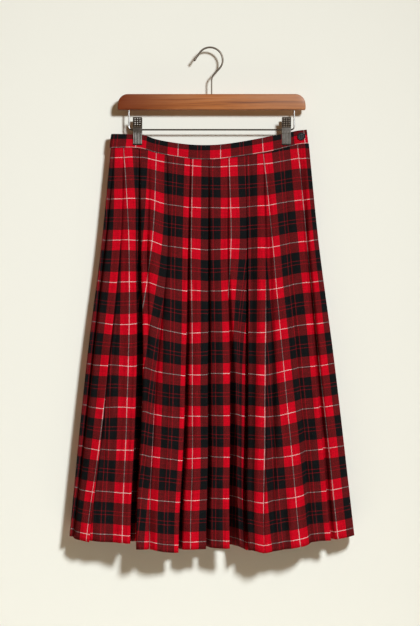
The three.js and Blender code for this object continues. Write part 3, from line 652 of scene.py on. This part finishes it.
# ------------------------------------------------------------------ cloth panels
def lay_columns(knots):
    """Columns of corners along a panel, from its knots.

    Each knot is dict(at, run) of one plain corner, of three for a nose, or of one to be rounded,
    with its radius and steps. run more points follow it on the straight stretch to the next one.
    """
    pieces = []
    for i, knot in enumerate(knots):
        at = knot["at"]
        if len(at) == 3:
            pieces.append(nose(*at))
        elif "radius" in knot:
            pieces.append(rounded(knots[i - 1]["at"][-1], at[0], knots[i + 1]["at"][0],
                                  knot["radius"], knot["steps"]))
        else:
            pieces.append(at)
    columns = list(pieces[0])
    for knot, piece, following in zip(knots, pieces, pieces[1:]):
        columns += stretch(piece[-1], following[0], knot["run"]) + list(following)
    return np.stack(columns, -1)


def cloth_positions(panel, t):
    """Where each fold takes up and gives back the uncut cloth, as curves over the levels.

    A row of the table may give them. Otherwise the shown cloth counts at its own width and each
    hard fold hides an equal part of the rest of the panel.
    """
    folds = panel["folds"]
    if folds[0]["before"] is not None:
        left, right = (down(panel[side]["cloth"], t) for side in ("left", "right"))
        return left, [(down(f["before"], t), down(f["after"], t)) for f in folds], right
    xs = [down(part["x"], t) for part in (panel["left"], *folds, panel["right"])]
    hard = [not f["soft"] for f in folds]
    total = xs[-1][0] - xs[0][0] + HIDDEN_PLEAT * sum(hard)
    hidden = (total - (xs[-1] - xs[0])) / sum(hard)
    place_at, places = np.zeros_like(t), []
    for i, is_hard in enumerate(hard):
        before = place_at + xs[i + 1] - xs[i]
        place_at = before + hidden * is_hard
        places.append((before, place_at))
    return np.zeros_like(t), places, place_at + xs[-1] - xs[-2]


def fold_knots(f, t, corner, before, after, run):
    """The knots of one fold, left to right.

    Where the cloth turns back it makes a small nose, as wide as the layers lie apart. As the fold
    opens, both noses straighten out into a step.
    """
    lap = f["lap"]
    edge_hem, past_hem = f["hem"]
    x, tuck, lift = (down(f[key], t) for key in ("x", "tuck", "lift"))
    opened = np.maximum(-tuck, 0)
    taken, given = (before, after) if lap > 0 else (after, before)
    if f["soft"]:
        turn = dict(radius=3.0 + 5.0 * t, steps=3)
        knots = [dict(at=[corner(x, 0, taken, edge_hem)], run=0, **turn),
                 dict(at=[corner(x + lap * opened, lift, given, past_hem)], run=run, **turn)]
    else:
        width = np.minimum(np.maximum(LAYER["pitch"], LAYER["growth"] * lift), LAYER["most"] * lift)
        turned = np.clip(tuck / FOLD_SHUT, -1, 1)
        half = lap * width / 2
        open_part = np.clip(opened / FOLD_SHUT, 0, 1)
        deepest = (taken + given) / 2 * (1 - open_part) + given * open_part
        back_x = x - lap * tuck
        clear_x = x + lap * (FOLD_CLEAR + opened)
        rise = f["rise"]
        reach = rise["reach"] + rise["slope"] * lift
        edge = [corner(x - half, 0, taken - half, edge_hem),
                corner(x, width / 2, taken, edge_hem),
                corner(x - half * turned, width, taken + half, edge_hem)]
        back = [corner(back_x + half * turned, lift - width, deepest - half, past_hem),
                corner(back_x, lift - width / 2, deepest, past_hem),
                corner(back_x + half, lift, deepest + half, past_hem)]
        clear = corner(clear_x, lift, given + lap * FOLD_CLEAR, past_hem)
        forward = corner(clear_x + lap * reach, rise["behind"] * lift,
                         given + lap * (FOLD_CLEAR + reach), past_hem)
        knots = [dict(at=edge, run=3), dict(at=back, run=3),
                 dict(at=[clear], radius=1 + t, steps=2, run=4),
                 dict(at=[forward], radius=2 + 3 * t, steps=3, run=run)]
    if lap > 0:
        return knots
    runs = [knot["run"] for knot in knots[:-1]][::-1] + [run]
    return [{**knot, "at": knot["at"][::-1], "run": runs[i]} for i, knot in enumerate(knots[::-1])]


def panel_surface(panel, creases, hitches, seed, t):
    """One cut panel hung from the waist seam: points and cloth map on a grid, in mm.

    Across, each level is a line from side seam to side seam that runs in and out of the folds;
    down, every corner of it moves along the table's smooth curves. Heights run straight from
    the seam to the hem's own height. Creases, long ripples and a little sway are then laid over
    it as smooth fields of x and level, so layers of cloth move together and never cross.
    """
    face, left, right, folds = panel["face"], panel["left"], panel["right"], panel["folds"]
    knot_x = np.stack([down(part["x"], t) for part in (left, *folds, right)])
    knot_out = np.stack([down(left["out"], t),
                         *(down((band_open(f["x"][0]), *f["out"]), t) for f in folds),
                         down(right["out"], t)])
    level = np.arange(len(t))

    def profile(x):
        """How far out the panel stands at x: straight from fold edge to fold edge."""
        i = np.clip((x[None] >= knot_x).sum(0) - 1, 0, len(knot_x) - 2)
        x0, x1 = knot_x[i, level], knot_x[i + 1, level]
        s = np.clip((x - x0) / (x1 - x0), 0, 1)
        return knot_out[i, level] * (1 - s) + knot_out[i + 1, level] * s

    def corner(x, behind, cloth, hem):
        return np.stack(np.broadcast_arrays(x, face * (profile(x) - behind), cloth, hem))

    seam_y = down(SIDE_SEAM_Y, t) + face * SEAT_GAP / 2

    def side(end, x, out, cloth, inward):
        """The cut edge at a side seam, and the turn from it into the panel's face."""
        turn = np.abs(face * out - seam_y)
        at_seam = np.stack(np.broadcast_arrays(x, seam_y, cloth - inward * turn, end["hem"]))
        rounded_off = np.stack(np.broadcast_arrays(x, face * out, cloth, end["hem"]))
        return at_seam, dict(at=[rounded_off], radius=0.9 * turn, steps=3)

    cloth_left, places, cloth_right = cloth_positions(panel, t)
    start, left_turn = side(left, knot_x[0], knot_out[0], cloth_left, 1)
    end, right_turn = side(right, knot_x[-1], knot_out[-1], cloth_right, -1)
    runs = [max(2, int(round(width / COLUMN_PITCH))) for width in np.diff(knot_x, axis=0).max(1)]
    knots = [dict(at=[start], run=2), {**left_turn, "run": runs[0]}]
    for f, (before, after), run in zip(folds, places, runs[1:]):
        knots += fold_knots(f, t, corner, before, after, run)
    knots += [{**right_turn, "run": 2}, dict(at=[end])]
    x, y, cloth, hem = lay_columns(knots)

    s = t[:, None]
    z = (band_line(2, x[0]) - SEAM_DROP) * (1 - s) + hem * s
    grain = curve(*GRAIN_AT_SEAM, np.clip(x[0], GRAIN_AT_SEAM[0][0], GRAIN_AT_SEAM[0][-1]))
    length = grain * (1 - s) + PANEL_LENGTH * s

    ease = smooth_step(0.0, 0.12, s)
    ends = np.minimum(x - knot_x[0][:, None], knot_x[-1][:, None] - x)
    inner, near_seam = smooth_step(0.0, 26.0, ends), smooth_step(0.0, 6.0, ends)
    push = np.zeros_like(x)
    for crease in creases:
        centre, depth, width = (down(values, t)[:, None] for values in crease)
        push += near_seam * depth * bell(x - centre, width)
    for i, (over_x, over_z, at_seam, more) in enumerate(RIPPLES):
        push += inner * ripples(x, z, seed + i, over_x, over_z) * (at_seam + more * s) * ease
    y = y - face * push
    sway = ripples(0.0, z, seed + 2, 80.0, 300.0) * 0.7 + ripples(x, z, seed + 3, 160.0, 380.0) * 0.7
    x = x + sway * (0.2 + 1.3 * s) * ease * inner
    for hitch in hitches:
        centre, rise, width = (down(values, t)[:, None] for values in hitch)
        z = z + rise * bell(x - centre, width)
    z = z + ripples(x, z, seed + 4, 90.0, 260.0) * 0.7 * ease
    return np.stack([x + BAR_X, y, z], -1), np.stack([cloth, length], -1)


# ------------------------------------------------------------------ the waistband
def band_path():
    """The band's middle line seen from above, as points about 1 mm apart.

    From its lapped front end along the front to the left, round a half circle, along the back,
    round a smaller half circle and in behind the front as the underlap; corners smoothed.
    """
    right = BAND[0][-1]
    left, open_left, open_right = BAND[0][0] - 0.4, BAND[3][0], BAND[3][-1]
    turn = np.linspace(0, np.pi, 15)[1:-1]
    front_x = np.arange(right, left + open_left, -1.0)
    back_x = np.arange(left + open_left, UNDERLAP["turn"] - 2.7, 1.0)
    small = (open_right - UNDERLAP["y"]) / 2
    middle = (open_right + UNDERLAP["y"]) / 2
    tail_x = np.arange(UNDERLAP["turn"] - small, UNDERLAP["x"], -1.0)
    x = np.concatenate([front_x, left + open_left - open_left * np.sin(turn), back_x,
                        UNDERLAP["turn"] - small + small * np.sin(turn), tail_x])
    y = np.concatenate([-band_open(front_x), -open_left * np.cos(turn), band_open(back_x),
                        middle + small * np.cos(turn), np.full(len(tail_x), UNDERLAP["y"])])
    window = np.hanning(9) / np.hanning(9).sum()
    return np.stack([np.convolve(np.pad(a, 4, "reflect", reflect_type="odd"), window, "valid")
                     for a in (x, y)], -1)


def band_surface(wall, count=430):
    """The band: a folded strip's section, rounded over the top, carried along the band's path.

    The section is a closed loop (distance out of the middle, part of the height); the height
    runs from the top edge to the seam, and the strip flares a little towards the seam.
    """
    path = band_path()
    steps = np.concatenate([[0], np.cumsum(np.hypot(*np.diff(path, axis=0).T))])
    run = np.linspace(0, steps[-1], count)
    path = np.stack([np.interp(run, steps, values) for values in path.T], -1)
    tangent = np.gradient(path, axis=0)
    tangent /= np.hypot(*tangent.T)[:, None]
    half = wall / 2
    turn = np.sin(np.linspace(0, np.pi, 7))[1:-1]
    across = np.cos(np.linspace(0, np.pi, 7))[1:-1]
    face_part = np.linspace(0.985, 0.05, 12)
    crown = 0.28 * np.sin(np.pi * face_part) ** 0.8
    out = np.concatenate([[half * 0.6], half + crown, half * across, -half - crown[::-1] * 0.4,
                          [-half * 0.6]])
    part = np.concatenate([[1.0], face_part, 0.04 - 0.04 * turn, face_part[::-1], [1.0]])
    over = np.concatenate([[1.0], face_part, np.linspace(0.04, -0.04, 7)[1:-1], -face_part[::-1],
                           [-1.0]])
    path_x, run = path[:, :1], run[:, None]
    pucker = np.sin(run / 4.1) * 0.10 + np.sin(run / 7.3 + 1) * 0.12
    out = out + pucker * np.sign(out) * np.sin(np.pi * part)
    top, seam = band_line(1, path_x), band_line(2, path_x * (1 + BAND_FLARE))
    points = np.stack([path_x * (1 + BAND_FLARE * part) - tangent[:, 1:] * out + BAR_X,
                       path[:, 1:] + tangent[:, :1] * out, top + (seam - top) * part], -1)
    over = np.append(over, over[0])
    uv = np.stack(np.broadcast_arrays(BAND_CUT["grain"] + BAND_CUT["height"] * (1 - over),
                                      BAND[0][-1] - run - BAND_CUT["end"]), -1)
    return points, uv


# ------------------------------------------------------------------ wires, bar and button
def tube(points, radius, sides, normal=(0.0, 1.0, 0.0)):
    """Rings of points round a line that lies in a plane with the given normal.

    radius may change along the line, and both ends close in a quarter round.
    """
    tangent = np.gradient(points, axis=0)
    tangent /= np.linalg.norm(tangent, axis=1)[:, None]
    radius = np.broadcast_to(radius, len(points))
    round_off = np.linspace(0, np.pi / 2, 5)[1:]
    sines, cosines = np.sin(round_off)[:, None], np.maximum(np.cos(round_off), 0.08)
    start = points[0] - tangent[0] * radius[0] * sines
    end = points[-1] + tangent[-1] * radius[-1] * sines
    centres = np.vstack([start[::-1], points, end])
    widths = np.concatenate([radius[0] * cosines[::-1], radius, radius[-1] * cosines])
    across = np.cross(normal, np.vstack([tangent[:1]] * 4 + [tangent] + [tangent[-1:]] * 4))
    across /= np.linalg.norm(across, axis=1)[:, None]
    angle = np.linspace(0, 2 * np.pi, sides, endpoint=False)[None, :, None]
    ring = across[:, None] * np.cos(angle) + np.array(normal) * np.sin(angle)
    return centres[:, None] + ring * widths[:, None, None]


def line(start, end, count):
    s = np.linspace(0, 1, count)[:, None]
    return np.asarray(start, float) * (1 - s) + np.asarray(end, float) * s


def joined_line(*parts):
    """Lines put end to end, without the repeated points."""
    return np.vstack([parts[0]] + [part[1:] for part in parts[1:]])


def hook_line(wire, socket_top):
    """Tip, loop, neck bend and stem of the hook, ending inside the bar."""
    loop, reach = HOOK_LOOP["radius"], HOOK_LOOP["bend"]
    opens, neck = np.radians([HOOK_LOOP["opens"], HOOK_LOOP["neck"]])
    angle = np.radians(np.linspace(HOOK_LOOP["opens"], HOOK_LOOP["neck"], 64))
    on_loop = np.stack([loop * np.cos(angle), 0 * angle, wire - loop + loop * np.sin(angle)], -1)
    tip = on_loop[0] + np.array([-np.sin(opens), 0, np.cos(opens)]) * HOOK_LOOP["tip"]
    fall = -np.array([-np.sin(neck), 0, np.cos(neck)])
    corner = on_loop[-1] + fall * (BAR_X - on_loop[-1][0]) / fall[0]
    bend_start, bend_end = corner - fall * reach, corner - np.array([0, 0, reach])
    return joined_line(line(tip, on_loop[0], 14), on_loop, line(on_loop[-1], bend_start, 4),
                       bend(bend_start, corner, bend_end, 11),
                       line(bend_end, (BAR_X, 0, socket_top - SOCKET + SEAT_GAP), 16))


def frame_line(bar_bottom):
    """The wire under the bar: left leg, rod, right leg."""
    top, foot = bar_bottom + SOCKET - SEAT_GAP, ROD_Z + LEG_BEND
    left, right = BAR_X - LEG_X, BAR_X + LEG_X
    rod = (left + LEG_BEND, 0, ROD_Z), (right - LEG_BEND, 0, ROD_Z)
    return joined_line(
        line((left, 0, top), (left, 0, foot), 14),
        bend((left, 0, foot), (left, 0, ROD_Z), rod[0], 9),
        line(*rod, 60),
        bend(rod[1], (right, 0, ROD_Z), (right, 0, foot), 9),
        line((right, 0, foot), (right, 0, top), 14))


def bar_surface(low, high):
    """The wooden bar: a rounded rectangle carried along x.

    Its top falls in a quarter ellipse at each shoulder, and at both ends the section draws in
    over a quarter circle, so every edge is rounded alike.
    """
    reach, drop, edge = (BAR_SHAPE[key] for key in ("reach", "drop", "edge"))
    length = high[0] - low[0]
    ends = edge * (1 - np.cos(np.linspace(0, np.pi / 2, 7)))
    near = np.linspace(edge, reach + 4, 26)[1:]
    middle = np.linspace(reach + 4, length - reach - 4, 50)[1:-1]
    station = np.concatenate([ends, near, middle, length - near[::-1], length - ends[::-1]])
    inset = np.minimum(station, length - station)
    draw = edge - np.sqrt(np.maximum(edge**2 - np.maximum(edge - inset, 0) ** 2, 0))
    fall = drop * (1 - np.sqrt(1 - np.clip((reach - inset) / reach, 0, 1) ** 2))
    top, bottom, depth = (a[:, None] for a in (high[2] - fall - draw, low[2] + draw,
                                               (high[1] - low[1]) / 2 - draw))
    radius = np.minimum(edge, 0.49 * np.minimum(2 * depth, top - bottom))
    angle = np.linspace(0, np.pi / 2, 6)
    y, z = [], []
    for side_y, side_z, order in ((1, 1, 1), (-1, 1, -1), (-1, -1, 1), (1, -1, -1)):
        level = top if side_z > 0 else bottom
        y.append(side_y * (depth - radius + radius * np.cos(angle)[::order]))
        z.append(level - side_z * radius + side_z * radius * np.sin(angle)[::order])
    y, z = np.hstack(y), np.hstack(z)
    return np.stack([np.broadcast_to((low[0] + station)[:, None], y.shape), y, z], -1)


def button_surface(centre, seat):
    """A turned button seen along Y: rings of a lathe profile, with four wells let into its face.

    The profile runs from the back's middle round the rim to the dished face; each well sinks by
    a smooth bell round its own middle.
    """
    radius, depth, sides = BUTTON["radius"], BUTTON["depth"], BUTTON["sides"]
    rim = np.array([(1.2, 0.0), (0.5, 0.12), (0.1, 0.6), (0, 1.2), (0, depth - 1.0),
                    (0.18, depth - 0.45), (0.6, depth - 0.08), (1.0, depth), (1.4, depth - 0.1),
                    (1.9, depth - 0.6), (2.4, depth - 0.95)])
    face_r = np.linspace(radius - 2.7, 0.12, 22)
    r = np.concatenate([[0.3], radius - rim[:, 0], face_r])[:, None]
    h = np.concatenate([[0.0], rim[:, 1], depth - 1.05 - 0.12 * (face_r / 4.8) ** 2])[:, None]
    angle = np.linspace(0, 2 * np.pi, sides, endpoint=False)
    x, z = r * np.cos(angle), r * np.sin(angle)
    h = np.repeat(h, sides, 1)
    for turn in np.pi / 4 + np.arange(4) * np.pi / 2:
        hole_x, hole_z = BUTTON["hole_circle"] * np.cos(turn), BUTTON["hole_circle"] * np.sin(turn)
        away = np.hypot(x - hole_x, z - hole_z)
        h[len(rim) + 1:] -= 1.3 * np.exp(-(away / BUTTON["hole"]) ** 4)[len(rim) + 1:]
    return np.stack([centre[0] + x, seat - h, centre[1] + z], -1)


# ------------------------------------------------------------------ settings
def measure(name, about, default, low=0.0, high=1000.0, unit="NONE"):
    return FloatProperty(name=name, description=about, default=default, min=low, max=high, unit=unit)


def swatch(name, about, default):
    return FloatVectorProperty(name=name, description=about, subtype="COLOR", default=default,
                               min=0, max=1)


class SkirtCloth(bpy.types.PropertyGroup):
    """The cloth: its thickness, plaid and colours."""
    thickness: measure("Cloth thickness", "Wall of the pleated cloth, in mm", 0.9, 0.3, 2.0)
    band_wall: measure("Band thickness", "The folded waistband, in mm", 2.2, 1.0, 4.0)
    across: measure("Repeat across", "Width of one plaid repeat, in mm", 66.5)
    down: measure("Repeat down", "Height of one plaid repeat, in mm", 79.4)
    white_line: measure("White line", "Width of the white lines, in mm", 1.1)
    thin_line: measure("Red line", "Width of the fine red lines, in mm", 1.3)
    thin_apart: measure("Red lines apart", "Between a pair's middles, in mm", 6.8)
    thin_share: measure("Red in the fine lines", "Part of the lines' threads", 0.45, 0, 1)
    sunk: measure("Yarns blend", "How far red among black goes to the heather tone", 0.62, 0, 1)
    thread: measure("Thread", "From thread to thread of the twill, in mm", 0.56, 0.2)
    red: swatch("Red", "The red yarn", (0.47, 0.0015, 0.0100))
    heather: swatch("Heather", "Red and black fibre mixed", (0.021, 0.008, 0.0068))
    black: swatch("Black", "The black yarn", (0.0055, 0.0060, 0.0062))
    white: swatch("White", "The white yarn", (0.85, 0.74, 0.68))


class HangerFinish(bpy.types.PropertyGroup):
    """The hanger: wire size, wood and metal colours."""
    wire: measure("Wire radius", "Radius of the hook and the frame wire, in mm", 1.5, 0.5, 3.0)
    dark: swatch("Dark grain", "The wood's dark bands", (0.13, 0.031, 0.007))
    middle: swatch("Grain", "The wood's usual tone", (0.39, 0.12, 0.024))
    light: swatch("Light grain", "The wood's light bands", (0.42, 0.16, 0.055))
    hook: swatch("Hook steel", "The hook's dull plating", (0.17, 0.135, 0.105))
    steel: swatch("Frame steel", "The frame's bright plating", (0.62, 0.60, 0.58))
    clip: swatch("Clip steel", "The clips' plating", (0.40, 0.36, 0.32))
    resin: swatch("Button", "The button's resin", (0.006, 0.006, 0.007))


class Studio(bpy.types.PropertyGroup):
    """The stage: wall, floor, lights and camera."""
    wall: measure("Wall behind", "From the hanger's middle to the wall", 0.022, unit="LENGTH")
    distance: measure("Camera distance", "From the hanger's middle plane", 3.0, unit="LENGTH")
    covered: measure("Picture height", "Height shown at the hanger", 1.189, unit="LENGTH")
    paint: swatch("Wall paint", "Wall and floor", (0.80, 0.765, 0.67))
    key: measure("Key light", "Power of the large soft lamp", 14.2, unit="POWER")
    fill: measure("Room light", "Strength of the light from all round", 0.19)


# ------------------------------------------------------------------ operators
def settings():
    scene = bpy.context.scene
    return scene.skirt_cloth, scene.hanger_finish, scene.studio


class SKIRT_OT_panels(bpy.types.Operator):
    """The front and back panels, pleated and hung from the waist seam"""
    bl_idname = "skirt.panels"
    bl_label = "Skirt panels"

    def execute(self, context):
        cloth, _, _ = settings()
        t = np.linspace(0, 1, 96)
        twill = plaid("plaid twill", cloth)
        for side, panel, creases, hitches, seed in (
            ("front", FRONT, FRONT_CREASES, FRONT_HITCHES, 11),
            ("back", BACK, BACK_CREASES, [], 47),
        ):
            name = "skirt_%s_cloth" % side
            points, uv = panel_surface(panel, creases, hitches, seed, t)
            mesh = mesh_from_grid(name, points, uv)
            if panel["face"] < 0:
                mesh.flip_normals()
            piece = place(name, mesh, twill, "skirt_" + side, slot="plaid_" + side)
            wall = piece.modifiers.new("wall", "SOLIDIFY")
            wall.thickness, wall.offset, wall.use_rim = cloth.thickness * MM, 0, True
        return {"FINISHED"}


class SKIRT_OT_waistband(bpy.types.Operator):
    """The waistband: one folded strip, lapped at the right under its button"""
    bl_idname = "skirt.waistband"
    bl_label = "Waistband"

    def execute(self, context):
        cloth, _, _ = settings()
        points, uv = band_surface(cloth.band_wall)
        piece = place("waistband_cloth", mesh_from_grid("waistband_cloth", points, uv, closed=True),
                      plaid("band twill", cloth), "waistband", slot="plaid_band")
        return {"FINISHED"}


class SKIRT_OT_button(bpy.types.Operator):
    """The four-hole button on the band's lapped end, with its crossed threads"""
    bl_idname = "skirt.button"
    bl_label = "Button"

    def execute(self, context):
        _, finish, _ = settings()
        low, high = (np.array(corner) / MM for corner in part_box("button"))
        centre = ((low[0] + high[0]) / 2, (low[2] + high[2]) / 2)
        mesh = mesh_from_grid("button_disc", button_surface(centre, high[1]), closed=True)
        g = Graph("button resin")
        swirl = g.noise(g.here(), 420.0, 3.0, 0.6)
        resin = g.finish(Base_Color=g.colour(swirl * 0.7, rgba(finish.resin), rgba(finish.resin, 2.2)),
                         Roughness=swirl * 0.2 + 0.3, Specular_IOR_Level=0.25,
                         Normal=g.bump(swirl, 0.1, 0.0002))
        place("button_disc", mesh, resin, "button", slot="button_resin")
        g = Graph("sewing thread")
        ply = g.noise(g.here(), 2600.0, 1.0)
        thread = g.finish(Base_Color=g.colour(ply, rgba(THREAD_DARK), rgba(THREAD_LIGHT)),
                          Roughness=0.8, Normal=g.bump(ply, 0.4, 0.0001))
        s = np.linspace(-1, 1, 15)
        number = 0
        for turn in (np.pi / 4, 3 * np.pi / 4):
            for side in (-STITCH["apart"], STITCH["apart"]):
                number += 1
                x = centre[0] + STITCH["reach"] * s * np.cos(turn) - side * np.sin(turn)
                z = centre[1] + STITCH["reach"] * s * np.sin(turn) + side * np.cos(turn)
                y = low[1] + STITCH["deep"] + STITCH["dips"] * np.abs(s) ** 6
                ring = tube(np.stack([x, y, z], -1), STITCH["radius"], 6,
                            (-np.sin(turn), 0, np.cos(turn)))
                name = "button_thread_%d" % number
                place(name, mesh_from_grid(name, ring, closed=True), thread, slot="button_resin")
        return {"FINISHED"}


class SKIRT_OT_hanger_bar(bpy.types.Operator):
    """The hanger's wooden bar, rounded at its shoulders"""
    bl_idname = "skirt.hanger_bar"
    bl_label = "Hanger bar"

    def execute(self, context):
        _, finish, _ = settings()
        mesh = mesh_from_grid("hanger_bar_wood", bar_surface(BAR_LOW, BAR_HIGH), closed=True)
        place("hanger_bar_wood", mesh, stained_wood("stained wood", finish), "hanger_bar", slot="wood")
        return {"FINISHED"}


class SKIRT_OT_hanger_wires(bpy.types.Operator):
    """The hook and the wire frame under the bar"""
    bl_idname = "skirt.hanger_wires"
    bl_label = "Hanger wires"

    def execute(self, context):
        _, finish, _ = settings()
        hook = hook_line(finish.wire, BAR_HIGH[2])
        run = np.arange(len(hook))
        slims = HOOK_SWELL["slims"] * smooth_step(HOOK_SWELL["from"], HOOK_SWELL["to"], run)
        bead = HOOK_SWELL["bead"] * np.exp(-((run - 1.0) / 1.4) ** 2)
        # The frame's wire gets painted shade below -0.151 m, on the rod's underside.
        for part, points, radius, plating, rough, shade_painted_below in (
            ("hook", hook, finish.wire * (HOOK_SWELL["tip"] - slims + bead), finish.hook, 0.30, None),
            ("frame", frame_line(BAR_LOW[2]), finish.wire, finish.steel, 0.16, -0.151),
        ):
            name = "hanger_" + part
            mesh = mesh_from_grid(name + "_wire", tube(points, radius, 20), closed=True)
            steel = metal("hanger %s wire" % part, plating, rough, 0.12, (700, 700, 60), shade_painted_below)
            place(name + "_wire", mesh, steel, name, slot="wire_steel")
        return {"FINISHED"}


class SKIRT_OT_clips(bpy.types.Operator):
    """The finish of the two spring clips"""
    bl_idname = "skirt.clips"
    bl_label = "Clips"

    def execute(self, context):
        _, finish, _ = settings()
        wound = metal("spring steel", finish.steel, 0.22, 0.12, (900, 900, 900))
        # The right clip's dots get a brighter painted highlight than the left clip's.
        for (side, middle), dot_highlight in zip(CLIP_MIDDLE.items(), (1.6, 2.6)):
            pressed = pressed_steel("clip steel " + side, finish.clip, middle + BAR_X, dot_highlight)
            for part, material in (("front", pressed), ("back", pressed), ("spring", wound)):
                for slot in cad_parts["clip_%s_%s" % (side, part)].material_slots:
                    slot.material = material
        return {"FINISHED"}


def stage_sheet(name, corners, material):
    mesh = bpy.data.meshes.new(name)
    mesh.from_pydata(corners, [], [(0, 1, 2, 3)])
    mesh.materials.append(material)
    piece = bpy.data.objects.new(name, mesh)
    bpy.context.scene.collection.objects.link(piece)
    return piece


def lamp(name, power, stands, aim, size, colour):
    """A round soft lamp whose light doesn't fall off with distance, so the wall stays even."""
    data = bpy.data.lights.new(name, "AREA")
    data.shape, data.size, data.energy, data.color = "DISK", size, power, colour
    data.use_nodes = True
    tree = data.node_tree
    falloff = tree.nodes.new("ShaderNodeLightFalloff")
    falloff.inputs["Strength"].default_value = 1.0
    tree.links.new(falloff.outputs["Constant"], tree.nodes["Emission"].inputs["Strength"])
    piece = bpy.data.objects.new(name, data)
    piece.location = stands
    piece.rotation_euler = (Vector(aim) - Vector(stands)).to_track_quat("-Z", "Y").to_euler()
    bpy.context.scene.collection.objects.link(piece)


class SKIRT_OT_studio(bpy.types.Operator):
    """Wall, floor, lamps and camera"""
    bl_idname = "skirt.studio"
    bl_label = "Studio"

    def execute(self, context):
        _, _, studio = settings()
        scene = context.scene
        g = Graph("wall paint")
        roller = g.noise(g.here(), 260.0, 3.0, 0.6)
        g.finish(Base_Color=rgba(studio.paint), Roughness=0.9, Normal=g.bump(roller, 0.08, 0.0004))
        # Seen from behind, the wall is clear; and it keeps no light from the skirt's back.
        clear = g.node("BsdfTransparent")
        behind = g.node("NewGeometry", output=6)
        seen = g.node("MixShader", behind, Number(g, g.shader.outputs[0]), clear)
        g.tree.links.new(seen.socket, g.tree.nodes["Material Output"].inputs["Surface"])
        half, top, y = WALL_SIZE["half"], WALL_SIZE["top"], studio.wall
        corners = (-half, y, FLOOR_Z), (half, y, FLOOR_Z), (half, y, top), (-half, y, top)
        stage_sheet("studio_wall", corners, g.material).visible_shadow = False
        g = Graph("floor paint")
        g.finish(Base_Color=rgba(studio.paint), Roughness=0.8)
        half, near, far = (FLOOR_SIZE[key] for key in ("half", "near", "far"))
        corners = [(x, y, FLOOR_Z) for x, y in ((-half, near), (half, near), (half, far), (-half, far))]
        stage_sheet("studio_floor", corners, g.material)

        lamp("key_lamp", studio.key, **KEY_LAMP)
        lamp("back_lamp", studio.key * BACK_POWER, **BACK_LAMP)
        world = bpy.data.worlds.new("studio_air")
        world.use_nodes = True
        air = world.node_tree.nodes["Background"]
        air.inputs["Color"].default_value = AIR_COLOUR
        air.inputs["Strength"].default_value = studio.fill
        scene.world = world

        data = bpy.data.cameras.new("camera")
        data.sensor_width = 36.0
        data.lens = data.sensor_width * studio.distance / studio.covered
        camera = bpy.data.objects.new("camera", data)
        camera.location = (0.0, -studio.distance, CAMERA_Z)
        camera.rotation_euler = (np.pi / 2, 0.0, 0.0)
        scene.collection.objects.link(camera)
        scene.camera = camera
        scene.view_settings.view_transform = "Standard"
        return {"FINISHED"}


class SKIRT_PT_sidebar(bpy.types.Panel):
    """Lists the pieces and their settings"""
    bl_idname = "SKIRT_PT_sidebar"
    bl_label = "Plaid skirt"
    bl_space_type = "VIEW_3D"
    bl_region_type = "UI"
    bl_category = "Skirt"

    def draw(self, context):
        for group in settings():
            box = self.layout.box()
            for key in group.bl_rna.properties.keys():
                if key not in ("rna_type", "name"):
                    box.prop(group, key)
        for operator in OPERATORS:
            self.layout.operator(operator.bl_idname)


OPERATORS = (SKIRT_OT_panels, SKIRT_OT_waistband, SKIRT_OT_button, SKIRT_OT_hanger_bar,
             SKIRT_OT_hanger_wires, SKIRT_OT_clips, SKIRT_OT_studio)
GROUPS = {"skirt_cloth": SkirtCloth, "hanger_finish": HangerFinish, "studio": Studio}
CLASSES = (*GROUPS.values(), *OPERATORS, SKIRT_PT_sidebar)


def register():
    for cls in CLASSES:
        bpy.utils.register_class(cls)
    for name, group in GROUPS.items():
        setattr(bpy.types.Scene, name, PointerProperty(type=group))


def unregister():
    for name in GROUPS:
        delattr(bpy.types.Scene, name)
    for cls in reversed(CLASSES):
        bpy.utils.unregister_class(cls)


def main():
    register()
    bpy.ops.skirt.waistband()
    bpy.ops.skirt.panels()
    bpy.ops.skirt.button()
    bpy.ops.skirt.hanger_bar()
    bpy.ops.skirt.hanger_wires()
    bpy.ops.skirt.clips()
    bpy.ops.skirt.studio()


if __name__ == "__main__":
    main()
